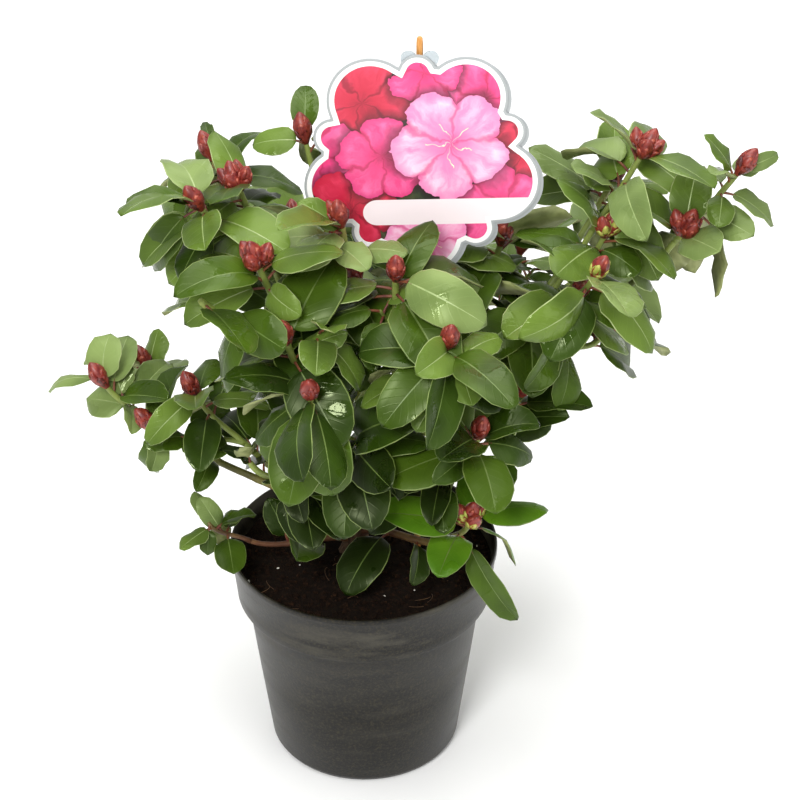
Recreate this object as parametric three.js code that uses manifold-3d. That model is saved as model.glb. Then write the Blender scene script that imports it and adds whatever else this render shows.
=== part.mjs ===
// A young rhododendron in a nursery pot, with its picture label on a bamboo stick.
// Millimetres, +Z up, origin at the centre of the pot's flat underside.
import * as THREE from "three";
import { mergeVertices } from "three/addons/utils/BufferGeometryUtils.js";
import Module from "manifold-3d";

const wasm = await Module();
wasm.setup();

// ---------------------------------------------------------------- driving sizes
const gap = 0.3; // clearance between touching pieces
const fat = 0.35; // how much a piece is grown before it is cut out of its neighbour

const pot = {
  height: 166.5,
  rimRadius: 95,
  collarFootRadius: 90.8,
  collarFootHeight: 127.5,
  bodyTopRadius: 84,
  baseRadius: 68,
  cornerRadius: 5,
  wall: 1.6,
  floor: 2.5,
  sides: 30,
  collarStep: 2, // height over which the body widens into the collar
  collarEdge: [0.6, 1.5], // the rounding at the collar's foot, in and up
  lip: [0.4, 1], // the rounding of the rim, in and down
  drains: { count: 5, radius: 5, sides: 6, ring: 46 },
};
const soil = {
  edgeHeight: 150,
  crownHeight: 152.5,
  crownRadius: 24,
  shoulder: [0.7, 1.2], // share of the edge's radius, and the rise there
  play: 0.4, // from the pot's wall
  cornerPlay: 0.5,
};
const stick = {
  x: 38.2,
  y: 0,
  radius: 2.2,
  top: 554.5,
  foot: 108,
  point: [0.5, 12], // share of the radius at the foot, and the point's length
  shoulder: [0.7, 10], // the same at the top
  sides: 8,
};
const label = {
  centre: [39, -5, 470],
  thickness: 1,
  tilt: 2.2,
  lobes: 5,
  stretch: 1.05,
  arcSegments: 2.5,
  petal: { ring: 51.5, radii: [28, 27, 27, 28, 27] }, // from the upper left one round by the left
  notch: { ring: 58.5, radius: 12.5 },
};
const clip = {
  plate: 1,
  width: 20,
  height: 26,
  overlap: 3, // how far the ears' centres stand below the card's top
  ear: { radius: 5.2, spread: 7, from: -0.4, to: 0.9, arcSegments: 4 }, // from and to in half turns
  sleeve: { radius: 3.9, height: 18, play: 0.25 },
};
const trunk = {
  foot: [-5, 8, soil.crownHeight + gap],
  top: [-1, 4, 206],
  lean: 12,
  leanHeading: 20,
  flareRadius: 13,
  flareFade: 7, // how many times the flare falls by e along the stem
  radius: 8.2,
  topRadius: 6,
  sides: 8,
  steps: 5,
};
const bough = {
  rootRadius: 4.2,
  tipRadius: 3.1,
  parentShare: 0.8, // thickest root, as a share of the limb it leaves
  followParent: 0.5, // how far a bough leaves along its parent
  sides: 4,
  steps: 4,
};
const twig = { rootRadius: 2.9, tipRadius: 2.3, sides: 3, steps: 3 };
const curveHandle = 0.36; // reach of a limb's end directions, as a share of its span

// Every leading shoot leans away from the heart of the crown, the more the further out it is.
const crown = { heart: [20, 10, 190], leastLean: 6, leanPerMillimetre: 0.12 };
const shootRule = {
  length: 72,
  sideTurn: 83, // degrees from one shoot's whorl to the next one's
  sideLean: 0.3,
  sideBranching: 0.8,
  sideRadius: 0.9, // share of the leader's radius
  lowestFork: 0.12,
};
const leafRule = {
  count: 6,
  length: 50,
  widthShare: 0.6,
  petiole: 11,
  petioleLean: 0.35,
  keel: 1,
  topLift: 0.1,
  rootHalfWidth: 0.8,
  goldenAngle: 137.5,
  firstSpread: 50,
  spreadStep: 9,
  firstNode: 3,
  nodeStep: 3,
  sag: 0.22,
  jitter: 14, // degrees of chance in a leaf's heading and spread
  roll: 36,
  scale: [0.86, 0.28], // smallest, and the range above it
  narrowness: [0.9, 0.2],
  droop: [14, 40],
  tries: 7,
  swing: 13, // degrees aside for each new try
  opening: 4,
};
const bud = {
  length: 20,
  radius: 6.6,
  widestAt: 0.42,
  sunk: 2,
  sides: 6,
  around: { turn: 30, lean: 0.62, scale: 0.76, below: 3, out: 2 },
};

// Clearances that a leaf keeps.
const clear = {
  leaf: 1.1,
  limb: 1.6,
  limbReach: 60, // a limb further off than this is not measured
  nearLeaves: 0.62, // neighbours nearer than this share of both lengths are measured
  rim: { inside: 8, outside: 4, above: 3 },
  soil: 4,
  card: 4,
  cardRadius: 84,
  stick: 3,
};
const seed = { first: 1000, step: 77 };

// Each mass of foliage: the limb that carries it and where on that limb, the tip of its leading
// shoot, and its side shoots as [heading, reach, drop] from that tip. A heading is counted from
// +X towards +Y, in degrees. Turn is the heading of its first leaf, size and sideSize are leaf
// lengths, and open is the spread of the first leaf from the shoot. The rest is worked out below.
const masses = [
  { name: "front_left", on: "main_stem", at: 0.8, tip: [-46, -90, 385], sides: [[303, 28, 26]],
    turn: 325, size: 56, open: 54 },
  { name: "front_right", on: "main_stem", at: 0.95, tip: [56, -100, 388],
    turn: 175, size: 56, open: 64 },
  { name: "centre", on: "front_right", at: 0.55, tip: [23, -60, 414], sides: [[123, 48, 27]],
    turn: 290, size: 56, open: 60 },
  { name: "centre_left", on: "front_left", at: 0.5, tip: [-12, -25, 434],
    turn: 100, size: 56, open: 46 },
  { name: "upper_left_front", on: "front_left", at: 0.62, tip: [-64, -65, 427], sides: [[205, 40, 16]],
    turn: 220, size: 52, open: 48, buds: 3 },
  { name: "upper_left", on: "main_stem", at: 0.92, tip: [-80, 10, 443],
    sides: [[112, 54, 4], [238, 42, -4]], turn: 315, size: 47, open: 56, buds: 3 },
  { name: "tall_left", on: "upper_left", at: 0.6, tip: [-37, 50, 457],
    turn: 75, size: 44, open: 32, stem: 95, leaves: 3 },
  { name: "left_low", on: "main_stem", at: 0.16, tip: [-178, 20, 284], sides: [[69, 64, 25]],
    turn: 140, size: 41, open: 38, stem: 48 },
  { name: "left_mid", on: "main_stem", at: 0.34, tip: [-114, 0, 289], sides: [[190, 30, 24]],
    turn: 295, size: 41, open: 48, stem: 60 },
  { name: "left_sprig", on: "main_stem", at: 0.12, tip: [-107, -30, 203],
    turn: 95, size: 25, stem: 34, buds: 0 },
  { name: "low_right", on: "front_right", at: 0.4, tip: [76, -95, 317],
    turn: 235, size: 50, open: 44 },
  { name: "low_front", on: "main_stem", at: 0.3, tip: [72, -75, 235],
    turn: 20, size: 54, open: 48, stem: 42 },
  { name: "right_mid", on: "main_stem", at: 0.98, tip: [162, 10, 408], sides: [[258, 51, 4]],
    turn: 185, size: 53, open: 38 },
  { name: "right_top", on: "right_mid", at: 0.55, tip: [185, 30, 457],
    turn: 310, size: 52, open: 54, stem: 60, buds: 3 },
  { name: "right_tip", on: "right_mid", at: 0.68, tip: [248, 20, 449], sides: [[198, 36, 40]],
    turn: 290, size: 26, sideSize: 44, open: 42 },
  { name: "right_back", on: "right_mid", at: 0.45, tip: [169, 65, 418],
    turn: 115, size: 47, open: 38, stem: 60 },
  { name: "right_inner", on: "right_mid", at: 0.4, tip: [142, -15, 374], sides: [[51, 32, 45]],
    turn: 300, size: 48, open: 52, stem: 60 },
  { name: "label_right", on: "main_stem", at: 0.88, tip: [94, 40, 385], sides: [[300, 40, 34]],
    turn: 285, size: 56, open: 54 },
  { name: "right_low", on: "main_stem", at: 0.7, tip: [106, -30, 307],
    turn: 80, size: 41, open: 38 },
  { name: "skirt_left", on: "front_left", at: 0.3, tip: [-51, -60, 273], sides: [[130, 40, 20]],
    turn: 175, size: 56, open: 48, stem: 56, buds: 0 },
  { name: "skirt_centre", on: "main_stem", at: 0.62, tip: [-6, -78, 304],
    turn: 235, size: 52, open: 42, stem: 56, buds: 0 },
  { name: "skirt_right", on: "front_right", at: 0.28, tip: [53, -59, 278],
    turn: 170, size: 56, open: 56, stem: 50, buds: 0 },
  { name: "rear_left", on: "main_stem", at: 0.76, tip: [-97, 104, 372],
    sides: [[45, 65, 34], [90, 46, 58]], turn: 145, size: 53, open: 38, leaves: 5 },
  { name: "rear_centre", on: "main_stem", at: 0.84, tip: [-23, 125, 362],
    sides: [[45, 69, 31], [95, 70, 61]], turn: 355, size: 56, open: 64 },
  { name: "rear_right", on: "main_stem", at: 0.66, tip: [112, 123, 332],
    sides: [[20, 59, 14], [95, 53, 58]], turn: 40, size: 56, open: 38, leaves: 5 },
  { name: "crown_inner", on: "rear_centre", at: 0.5, tip: [46, 43, 391], sides: [[180, 64, 9]],
    turn: 300, size: 56, open: 42, stem: 60 },
];

const colours = {
  potPlastic: 0x3b3b39,
  peat: 0x2a1d15,
  bark: 0x6b4a34,
  greenStem: 0x7d8646,
  foliage: 0x56753f,
  bamboo: 0xc48a45,
  card: 0xf3f1ee,
  clearPlastic: 0xdfe5e6,
};

// ---------------------------------------------------------------- small helpers
const vec = (x, y, z) => new THREE.Vector3(x, y, z);
const up = vec(0, 0, 1);
const radians = THREE.MathUtils.degToRad;

function seeded(seed) {
  let state = seed >>> 0;
  return () => {
    state = (state + 0x6d2b79f5) >>> 0;
    let mixed = Math.imul(state ^ (state >>> 15), 1 | state);
    mixed = (mixed + Math.imul(mixed ^ (mixed >>> 7), 61 | mixed)) ^ mixed;
    return ((mixed ^ (mixed >>> 14)) >>> 0) / 4294967296;
  };
}

// A unit vector that leans away from straight up by some degrees, towards a heading.
function leaning(heading, lean) {
  const side = Math.sin(radians(lean));
  return vec(side * Math.cos(radians(heading)), side * Math.sin(radians(heading)), Math.cos(radians(lean)));
}

// A three.js geometry as a solid: welded, and turned right side out.
function solid(geometry) {
  const bare = geometry.index ? geometry.clone() : mergeVertices(geometry);
  bare.deleteAttribute("normal");
  bare.deleteAttribute("uv");
  const welded = mergeVertices(bare, 1e-4);
  const position = welded.getAttribute("position");
  const triangles = new Uint32Array(welded.index.array);
  const corner = [vec(), vec(), vec()];
  let volume = 0;
  for (let i = 0; i < triangles.length; i += 3) {
    corner.forEach((point, k) => point.fromBufferAttribute(position, triangles[i + k]));
    volume += corner[0].dot(corner[1].cross(corner[2]));
  }
  if (volume < 0) triangles.reverse();
  const vertProperties = new Float32Array(position.array);
  return new wasm.Manifold(new wasm.Mesh({ numProp: 3, vertProperties, triVerts: triangles }));
}

const join = (solids) => solids.reduce((whole, piece) => whole.add(piece));

// The largest body of a solid, with sealed hollows filled and loose scraps dropped.
function mainBody(shape) {
  const parts = shape.decompose();
  const largest = parts.reduce((best, part) => (part.volume() > best.volume() ? part : best));
  return largest.simplify(0.01);
}

function meshOf(name, shape, colour, roughness) {
  const { vertProperties, triVerts } = shape.getMesh();
  const geometry = new THREE.BufferGeometry();
  geometry.setAttribute("position", new THREE.BufferAttribute(new Float32Array(vertProperties), 3));
  geometry.setIndex(new THREE.BufferAttribute(new Uint32Array(triVerts), 1));
  geometry.computeVertexNormals();
  const material = new THREE.MeshStandardMaterial({ color: colour, roughness, metalness: 0 });
  const mesh = new THREE.Mesh(geometry, material);
  mesh.name = name;
  return mesh;
}

// A profile of [radius, height] pairs turned about the Z axis.
function turned(profile, sides) {
  const points = profile.map(([radius, height]) => new THREE.Vector2(radius, height));
  return solid(new THREE.LatheGeometry(points, sides).rotateX(Math.PI / 2));
}

// ---------------------------------------------------------------- limbs
// A limb is a curve with a radius that tapers along it.
function limb(start, startDirection, end, endDirection, rootRadius, tipRadius) {
  const handle = curveHandle * start.distanceTo(end);
  const curve = new THREE.CubicBezierCurve3(
    start.clone(),
    start.clone().addScaledVector(startDirection, handle),
    end.clone().addScaledVector(endDirection, -handle),
    end.clone(),
  );
  return { curve, radiusAt: (t) => rootRadius + (tipRadius - rootRadius) * t };
}

function pointOn(shoot, t) {
  return shoot.curve.getPoint(t);
}

function directionOn(shoot, t) {
  const step = 0.01;
  const low = Math.max(t - step, 0);
  const high = Math.min(t + step, 1);
  return pointOn(shoot, high).sub(pointOn(shoot, low)).normalize();
}

function lengthOf(shoot) {
  const steps = 16;
  let total = 0;
  for (let i = 0; i < steps; i++) {
    total += pointOn(shoot, i / steps).distanceTo(pointOn(shoot, (i + 1) / steps));
  }
  return total;
}

// The limb's solid: a cylinder whose rings are carried along the curve. A grown one is longer too.
function limbSolid(shoot, sides, steps, grow = 0) {
  const geometry = new THREE.CylinderGeometry(1, 1, 1, sides, steps);
  const position = geometry.getAttribute("position");
  const frames = [];
  let normal = vec(0.31, 0.95, 0.02); // any direction that no limb follows
  for (let i = 0; i <= steps; i++) {
    const direction = directionOn(shoot, i / steps);
    normal = normal.clone().addScaledVector(direction, -normal.dot(direction)).normalize();
    const centre = pointOn(shoot, i / steps);
    if (i === 0) centre.addScaledVector(direction, -grow);
    if (i === steps) centre.addScaledVector(direction, grow);
    frames.push({ centre, normal, side: normal.clone().cross(direction).negate() });
  }
  for (let i = 0; i < position.count; i++) {
    const t = position.getY(i) + 0.5;
    const { centre, normal: across, side } = frames[Math.round(t * steps)];
    const radius = shoot.radiusAt(t) + grow / Math.cos(Math.PI / sides);
    const point = centre.clone();
    point.addScaledVector(across, position.getX(i) * radius);
    point.addScaledVector(side, position.getZ(i) * radius);
    position.setXYZ(i, point.x, point.y, point.z);
  }
  return solid(geometry);
}

// The limb as short straight pieces, for measuring how near a leaf comes.
function capsules(shoot, steps = 6) {
  const pieces = [];
  for (let i = 0; i < steps; i++) {
    const radius = Math.max(shoot.radiusAt(i / steps), shoot.radiusAt((i + 1) / steps));
    pieces.push({ from: pointOn(shoot, i / steps), to: pointOn(shoot, (i + 1) / steps), radius });
  }
  return pieces;
}

function distanceToPiece(point, { from, to }) {
  const along = to.clone().sub(from);
  const t = THREE.MathUtils.clamp(point.clone().sub(from).dot(along) / along.lengthSq(), 0, 1);
  return point.distanceTo(from.clone().addScaledVector(along, t));
}

// ---------------------------------------------------------------- leaves and buds
// Half the blade's width, as a share of its widest, from its foot (0) to its tip (1).
const outline = (t) => Math.pow(Math.sin(Math.PI * Math.pow(t, 0.9)), 0.65);

// A point on the blade: t along the drooping midrib, across in half widths, lift off the surface.
function bladePoint(leaf, t, across, lift) {
  const turn = leaf.droop * t;
  const point = leaf.foot.clone();
  point.addScaledVector(leaf.direction, (leaf.length * Math.sin(turn)) / leaf.droop);
  point.addScaledVector(leaf.normal, (leaf.length * (Math.cos(turn) - 1)) / leaf.droop);
  point.addScaledVector(leaf.side, across * 0.5 * leaf.width);
  const normal = leaf.normal.clone().multiplyScalar(Math.cos(turn));
  normal.addScaledVector(leaf.direction, Math.sin(turn));
  return point.addScaledVector(normal, lift);
}

// One leaf of a whorl, from its place on the shoot and its own share of chance.
function growLeaf(root, axis, azimuth, spread, length, chance) {
  const { jitter, sag, roll: rollRange, petioleLean, narrowness, droop } = leafRule;
  const east = vec(1, 0, 0).addScaledVector(axis, -axis.x).normalize();
  const north = axis.clone().cross(east);
  const angle = radians(azimuth + jitter * (chance[0] - 0.5));
  const open = radians(spread + jitter * (chance[1] - 0.5));
  const outward = east.multiplyScalar(Math.cos(angle)).addScaledVector(north, Math.sin(angle));
  const direction = axis.clone().multiplyScalar(Math.cos(open)).addScaledVector(outward, Math.sin(open));
  direction.addScaledVector(up, -sag).normalize();
  const normal = axis.clone().add(up);
  normal.addScaledVector(direction, -normal.dot(direction)).normalize();
  const side = normal.clone().cross(direction);
  const roll = radians(rollRange * (chance[2] - 0.5));
  const rolled = normal.clone().multiplyScalar(Math.cos(roll)).addScaledVector(side, Math.sin(roll));
  const petiole = direction.clone().addScaledVector(axis, petioleLean).normalize();
  const scale = leafRule.scale[0] + leafRule.scale[1] * chance[3];
  const width = leafRule.widthShare * (narrowness[0] + narrowness[1] * chance[4]);
  return {
    root,
    foot: root.clone().addScaledVector(petiole, leafRule.petiole * (length / leafRule.length)),
    direction,
    normal: rolled,
    side: rolled.clone().cross(direction),
    length: length * scale,
    width: length * scale * width,
    droop: radians(droop[0] + droop[1] * chance[5]),
  };
}

// The leaf's solid: petiole and blade as one three-sided cone, flat above and keeled below. A grown
// leaf is four-sided, so that it holds the whole plain leaf with room to spare.
function leafSolid(leaf, grow = 0) {
  const { keel, rootHalfWidth, topLift } = leafRule;
  const plainSection = [[0, -keel], [1, topLift], [-1, topLift]];
  const low = -keel - grow;
  const high = topLift + grow;
  const section = grow > 0 ? [[1, low], [1, high], [-1, high], [-1, low]] : plainSection;
  const stations = [null, 0.34, 0.74, 1]; // the petiole's root, then along the blade
  const geometry = new THREE.ConeGeometry(1, 1, section.length, stations.length - 1);
  const position = geometry.getAttribute("position");
  for (let i = 0; i < position.count; i++) {
    const step = Math.round((position.getY(i) + 0.5) * (stations.length - 1));
    const t = stations[step];
    const x = position.getX(i);
    const z = position.getZ(i);
    const corner = Math.round((Math.atan2(x, z) / (2 * Math.PI)) * section.length + section.length);
    const onAxis = Math.hypot(x, z) < 1e-6;
    const [across, lift] = onAxis ? [0, 0] : section[corner % section.length];
    const half = (step === 0 ? rootHalfWidth : outline(t) * 0.5 * leaf.width) + grow;
    const reach = t === 1 ? 1 + (3 * grow) / leaf.length : t ?? 0;
    const point = bladePoint(leaf, reach, (across * half) / (0.5 * leaf.width), lift);
    if (step === 0) point.add(leaf.root).sub(leaf.foot);
    position.setXYZ(i, point.x, point.y, point.z);
  }
  return solid(geometry);
}

function budSolid(base, axis, scale, grow = 0) {
  const length = bud.length * scale;
  const radius = bud.radius * scale + grow;
  const profile = [
    [0, -grow - bud.sunk * scale],
    [radius, bud.widestAt * length],
    [0, length + grow],
  ];
  const points = profile.map(([across, along]) => new THREE.Vector2(across, along));
  const geometry = new THREE.LatheGeometry(points, bud.sides);
  geometry.applyQuaternion(new THREE.Quaternion().setFromUnitVectors(vec(0, 1, 0), axis));
  return solid(geometry.translate(base.x, base.y, base.z));
}

// ---------------------------------------------------------------- clearance
// A blade as a coarse sheet: eight triangles between its midrib and its two margins.
function sheetOf(leaf, lift) {
  const stations = [0, 0.3, 0.62, 0.86, 1];
  const middle = stations.map((t) => bladePoint(leaf, t, 0, lift));
  const triangles = [];
  const edges = [];
  for (const hand of [-1, 1]) {
    const margin = stations.map((t) => bladePoint(leaf, t, hand * outline(Math.min(t, 0.999)), lift));
    for (let i = 0; i + 1 < stations.length; i++) {
      if (i > 0) triangles.push([middle[i], margin[i], margin[i + 1]]);
      if (i + 2 < stations.length) triangles.push([middle[i], margin[i + 1], middle[i + 1]]);
      edges.push([margin[i], margin[i + 1]]);
      if (i > 0) edges.push([middle[i], margin[i]]);
    }
  }
  for (let i = 0; i + 1 < stations.length; i++) edges.push([middle[i], middle[i + 1]]);
  return { triangles, edges };
}

function crosses([from, to], [a, b, c]) {
  const along = to.clone().sub(from);
  const first = b.clone().sub(a);
  const second = c.clone().sub(a);
  const across = along.clone().cross(second);
  const scale = first.dot(across);
  if (Math.abs(scale) < 1e-9) return false;
  const reach = from.clone().sub(a);
  const u = reach.dot(across) / scale;
  if (u < 0 || u > 1) return false;
  const turned = reach.clone().cross(first);
  const v = along.dot(turned) / scale;
  if (v < 0 || u + v > 1) return false;
  const t = second.dot(turned) / scale;
  return t >= 0 && t <= 1;
}

const sheetsCross = (one, other) =>
  one.edges.some((edge) => other.triangles.some((triangle) => crosses(edge, triangle))) ||
  other.edges.some((edge) => one.triangles.some((triangle) => crosses(edge, triangle)));

function touchesPot(point) {
  const { inside, outside, above } = clear.rim;
  const out = Math.hypot(point.x, point.y);
  const atWall = out > pot.rimRadius - inside && out < pot.rimRadius + outside;
  if (atWall && point.z < pot.height + above) return true;
  return out < pot.rimRadius && point.z < soil.crownHeight + clear.soil;
}

function facesCard(point) {
  const [x, , z] = label.centre;
  return Math.hypot(point.x - x, point.z - z) < clear.cardRadius;
}

function touchesLabel(point) {
  const nearCard = Math.abs(point.y - label.centre[1]) < clear.card && facesCard(point);
  const nearStick = Math.hypot(point.x - stick.x, point.y - stick.y) < stick.radius + clear.stick;
  return nearCard || nearStick;
}

function passesLabel(points) {
  const front = points.some((point) => point.y < label.centre[1]);
  const behind = points.some((point) => point.y > label.centre[1]);
  return front && behind && points.some(facesCard);
}

function isClear(leaf, grown, limbs) {
  const middle = bladePoint(leaf, 0.5, 0, 0);
  const samples = [];
  for (const t of [0.1, 0.3, 0.5, 0.7, 0.9, 1]) {
    const half = outline(Math.min(t, 0.999));
    for (const across of [-half, 0, half]) samples.push(bladePoint(leaf, t, across, 0));
  }
  if (samples.some((point) => touchesPot(point) || touchesLabel(point))) return false;
  if (passesLabel(samples)) return false;
  for (const piece of limbs) {
    if (distanceToPiece(middle, piece) > clear.limbReach) continue;
    if (samples.some((point) => distanceToPiece(point, piece) < piece.radius + clear.limb)) return false;
  }
  const near = grown.filter((other) => {
    return other.middle.distanceTo(middle) < clear.nearLeaves * (other.leaf.length + leaf.length);
  });
  for (const lift of [-clear.leaf, 0, clear.leaf]) {
    const sheet = sheetOf(leaf, lift);
    if (near.some((other) => sheetsCross(sheet, other.sheet))) return false;
  }
  return true;
}

// ---------------------------------------------------------------- the plant's frame
const stem = limb(
  vec(...trunk.foot),
  up,
  vec(...trunk.top),
  leaning(trunk.leanHeading, trunk.lean),
  trunk.radius,
  trunk.topRadius,
);
stem.radiusAt = (t) => {
  const flare = (trunk.flareRadius - trunk.radius) * Math.exp(-t * trunk.flareFade);
  return trunk.radius + (trunk.topRadius - trunk.radius) * t + flare;
};

// The leading shoot of a mass and its side shoots, each ending in a whorl of leaves.
function shootsOf(mass) {
  const tip = vec(...mass.tip);
  const fromHeart = tip.clone().sub(vec(...crown.heart));
  const heading = THREE.MathUtils.radToDeg(Math.atan2(fromHeart.y, fromHeart.x));
  const lean = crown.leastLean + crown.leanPerMillimetre * Math.hypot(fromHeart.x, fromHeart.y);
  const axis = leaning(heading, lean);
  const rising = fromHeart.normalize().add(axis).normalize();
  const length = mass.stem ?? shootRule.length;
  const root = tip.clone().addScaledVector(rising, -length);
  const leading = limb(root, rising, tip, axis, twig.rootRadius, twig.tipRadius);
  const leader = { ...leading, axis, turn: mass.turn };
  const shoots = [leader];
  for (const [sideHeading, reach, drop] of mass.sides ?? []) {
    const away = leaning(sideHeading, 90);
    const sideTip = tip.clone().addScaledVector(away, reach).addScaledVector(up, -drop);
    const sideAxis = axis.clone().addScaledVector(away, shootRule.sideLean).normalize();
    const fork = Math.max(shootRule.lowestFork, 1 - (reach + Math.max(drop, 0)) / length);
    const start = pointOn(leader, fork);
    const leaving = directionOn(leader, fork).addScaledVector(away, shootRule.sideBranching).normalize();
    const radius = leader.radiusAt(fork) * shootRule.sideRadius;
    const side = limb(start, leaving, sideTip, sideAxis, radius, twig.tipRadius);
    shoots.push({ ...side, axis: sideAxis, turn: mass.turn + shootRule.sideTurn * shoots.length });
  }
  return { shoots, root, rising };
}

const plan = masses.map((mass) => ({ mass, ...shootsOf(mass) }));

// Boughs: one tapering limb to each mass, from the main stem or from the side of another bough.
const limbs = new Map([["main_stem", stem]]);
const waiting = [...plan];
while (waiting.length > 0) {
  const next = waiting.findIndex(({ mass }) => limbs.has(mass.on));
  const { mass, root, rising } = waiting.splice(next, 1)[0];
  const parent = limbs.get(mass.on);
  const start = pointOn(parent, mass.at);
  const toRoot = root.clone().sub(start).normalize();
  const leaving = directionOn(parent, mass.at).multiplyScalar(bough.followParent).add(toRoot).normalize();
  const end = root.clone().addScaledVector(rising, -gap);
  const rootRadius = Math.min(bough.rootRadius, bough.parentShare * parent.radiusAt(mass.at));
  limbs.set(mass.name, limb(start, leaving, end, rising, rootRadius, bough.tipRadius));
}

// ---------------------------------------------------------------- leaves of every mass
const bareLimbs = [...limbs.values()].flatMap((shoot) => capsules(shoot));
const grown = [];

function dressShoot(shoot, leader, mass, chance) {
  const leaves = mass.leaves ?? leafRule.count;
  const isSide = shoot !== leader;
  const size = (isSide && mass.sideSize) || (mass.size ?? leafRule.length);
  const length = lengthOf(shoot);
  const twigs = plan.filter((entry) => entry.mass !== mass).flatMap((entry) => entry.capsules);
  for (let i = 0; i < leaves; i++) {
    const t = 1 - (leafRule.firstNode + leafRule.nodeStep * i) / length;
    const azimuth = shoot.turn + leafRule.goldenAngle * i;
    const spread = (mass.open ?? leafRule.firstSpread) + leafRule.spreadStep * i;
    for (let attempt = 0; attempt < leafRule.tries; attempt++) {
      const draws = [0, 1, 2, 3, 4, 5].map(() => chance());
      const swing = (attempt % 2 === 0 ? 1 : -1) * leafRule.swing * attempt;
      const opened = spread + leafRule.opening * attempt * (draws[1] - 0.5);
      const leaf = growLeaf(pointOn(shoot, t), shoot.axis, azimuth + swing, opened, size, draws);
      if (!isClear(leaf, grown, [...bareLimbs, ...twigs])) continue;
      grown.push({ mass, leaf, middle: bladePoint(leaf, 0.5, 0, 0), sheet: sheetOf(leaf, 0) });
      break;
    }
  }
}

for (const entry of plan) entry.capsules = entry.shoots.flatMap((shoot) => capsules(shoot, 4));
plan.forEach(({ mass, shoots }, index) => {
  const chance = seeded(seed.first + seed.step * index);
  for (const shoot of shoots) dressShoot(shoot, shoots[0], mass, chance);
});

// Buds: one at the tip of a shoot, with smaller ones leaning out around it.
function budsOf(shoot, count) {
  const { turn, lean, scale, below, out } = bud.around;
  const tip = pointOn(shoot, 1);
  const buds = count > 0 ? [{ base: tip, axis: shoot.axis, scale: 1 }] : [];
  for (let i = 1; i < count; i++) {
    const around = shoot.turn + turn + (360 * i) / (count - 1);
    const axis = shoot.axis.clone().addScaledVector(leaning(around, 90), lean).normalize();
    const base = tip.clone().addScaledVector(shoot.axis, -below).addScaledVector(axis, out);
    buds.push({ base, axis, scale });
  }
  return buds;
}

function massSolid({ mass, shoots }, grow = 0) {
  const pieces = shoots.map((shoot) => limbSolid(shoot, twig.sides, twig.steps, grow));
  const buds = shoots.flatMap((shoot, i) => {
    const count = i === 0 ? mass.buds ?? 1 : Math.min(1, mass.buds ?? 1);
    return budsOf(shoot, count);
  });
  for (const { base, axis, scale } of buds) pieces.push(budSolid(base, axis, scale, grow));
  for (const entry of grown) {
    if (entry.mass === mass) pieces.push(leafSolid(entry.leaf, grow));
  }
  return join(pieces);
}

// ---------------------------------------------------------------- pot and soil
function potSolid() {
  const slope = (pot.bodyTopRadius - pot.baseRadius) / pot.collarFootHeight;
  const foot = pot.cornerRadius;
  const bevel = foot * (1 - Math.SQRT1_2);
  const rim = pot.rimRadius;
  const [edgeIn, edgeUp] = pot.collarEdge;
  const [lipIn, lipDown] = pot.lip;
  const profile = [
    [0, 0],
    [pot.baseRadius - foot, 0],
    [pot.baseRadius - bevel, bevel],
    [pot.baseRadius + slope * foot, foot],
    [pot.bodyTopRadius, pot.collarFootHeight - pot.collarStep],
    [pot.collarFootRadius - edgeIn, pot.collarFootHeight],
    [pot.collarFootRadius, pot.collarFootHeight + edgeUp],
    [rim, pot.height - lipDown],
    [rim - lipIn, pot.height],
    [rim - pot.wall, pot.height],
    [pot.collarFootRadius - pot.wall, pot.collarFootHeight + pot.wall + edgeUp],
    [pot.bodyTopRadius - pot.wall, pot.collarFootHeight + pot.wall - pot.collarStep],
    [pot.baseRadius - pot.wall + slope * foot, foot + pot.floor],
    [pot.baseRadius - foot, pot.floor],
    [0, pot.floor],
  ];
  const { count, radius, ring, sides: drillSides } = pot.drains;
  let body = turned(profile, pot.sides);
  for (let i = 0; i < count; i++) {
    const angle = (2 * Math.PI * (i + 0.5)) / count;
    const drill = new THREE.CylinderGeometry(radius, radius, 4 * pot.floor, drillSides);
    drill.rotateX(Math.PI / 2).translate(ring * Math.cos(angle), ring * Math.sin(angle), 0);
    body = body.subtract(solid(drill));
  }
  return body;
}

function soilSolid() {
  const inset = pot.wall + soil.play;
  const slope = (pot.bodyTopRadius - pot.baseRadius) / pot.collarFootHeight;
  const collarSlope = (pot.rimRadius - pot.collarFootRadius) / (pot.height - pot.collarFootHeight);
  const [, edgeUp] = pot.collarEdge;
  const collarHeight = pot.collarFootHeight + pot.wall + edgeUp;
  const rise = soil.edgeHeight - collarHeight;
  const edge = pot.collarFootRadius - inset + collarSlope * rise;
  const [shoulderShare, shoulderRise] = soil.shoulder;
  const profile = [
    [0, pot.floor + gap],
    [pot.baseRadius - pot.cornerRadius - soil.cornerPlay, pot.floor + gap],
    [pot.baseRadius - inset + slope * pot.cornerRadius, pot.cornerRadius + pot.floor + soil.cornerPlay],
    [pot.bodyTopRadius - inset, pot.collarFootHeight + pot.wall - pot.collarStep],
    [pot.collarFootRadius - inset, collarHeight + soil.cornerPlay],
    [edge, soil.edgeHeight],
    [shoulderShare * edge, soil.edgeHeight + shoulderRise],
    [soil.crownRadius, soil.crownHeight],
    [0, soil.crownHeight],
  ];
  return turned(profile, pot.sides).subtract(stickSolid(gap));
}

// ---------------------------------------------------------------- label, clip and stick
function stickSolid(grow = 0) {
  const radius = stick.radius + grow;
  const [footShare, pointLength] = stick.point;
  const [topShare, shoulderLength] = stick.shoulder;
  const profile = [
    [0, stick.foot - grow],
    [footShare * radius, stick.foot - grow],
    [radius, stick.foot + pointLength],
    [radius, stick.top - shoulderLength],
    [topShare * radius, stick.top],
    [0, stick.top],
  ];
  return turned(profile, stick.sides).translate([stick.x, stick.y, 0]);
}

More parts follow.
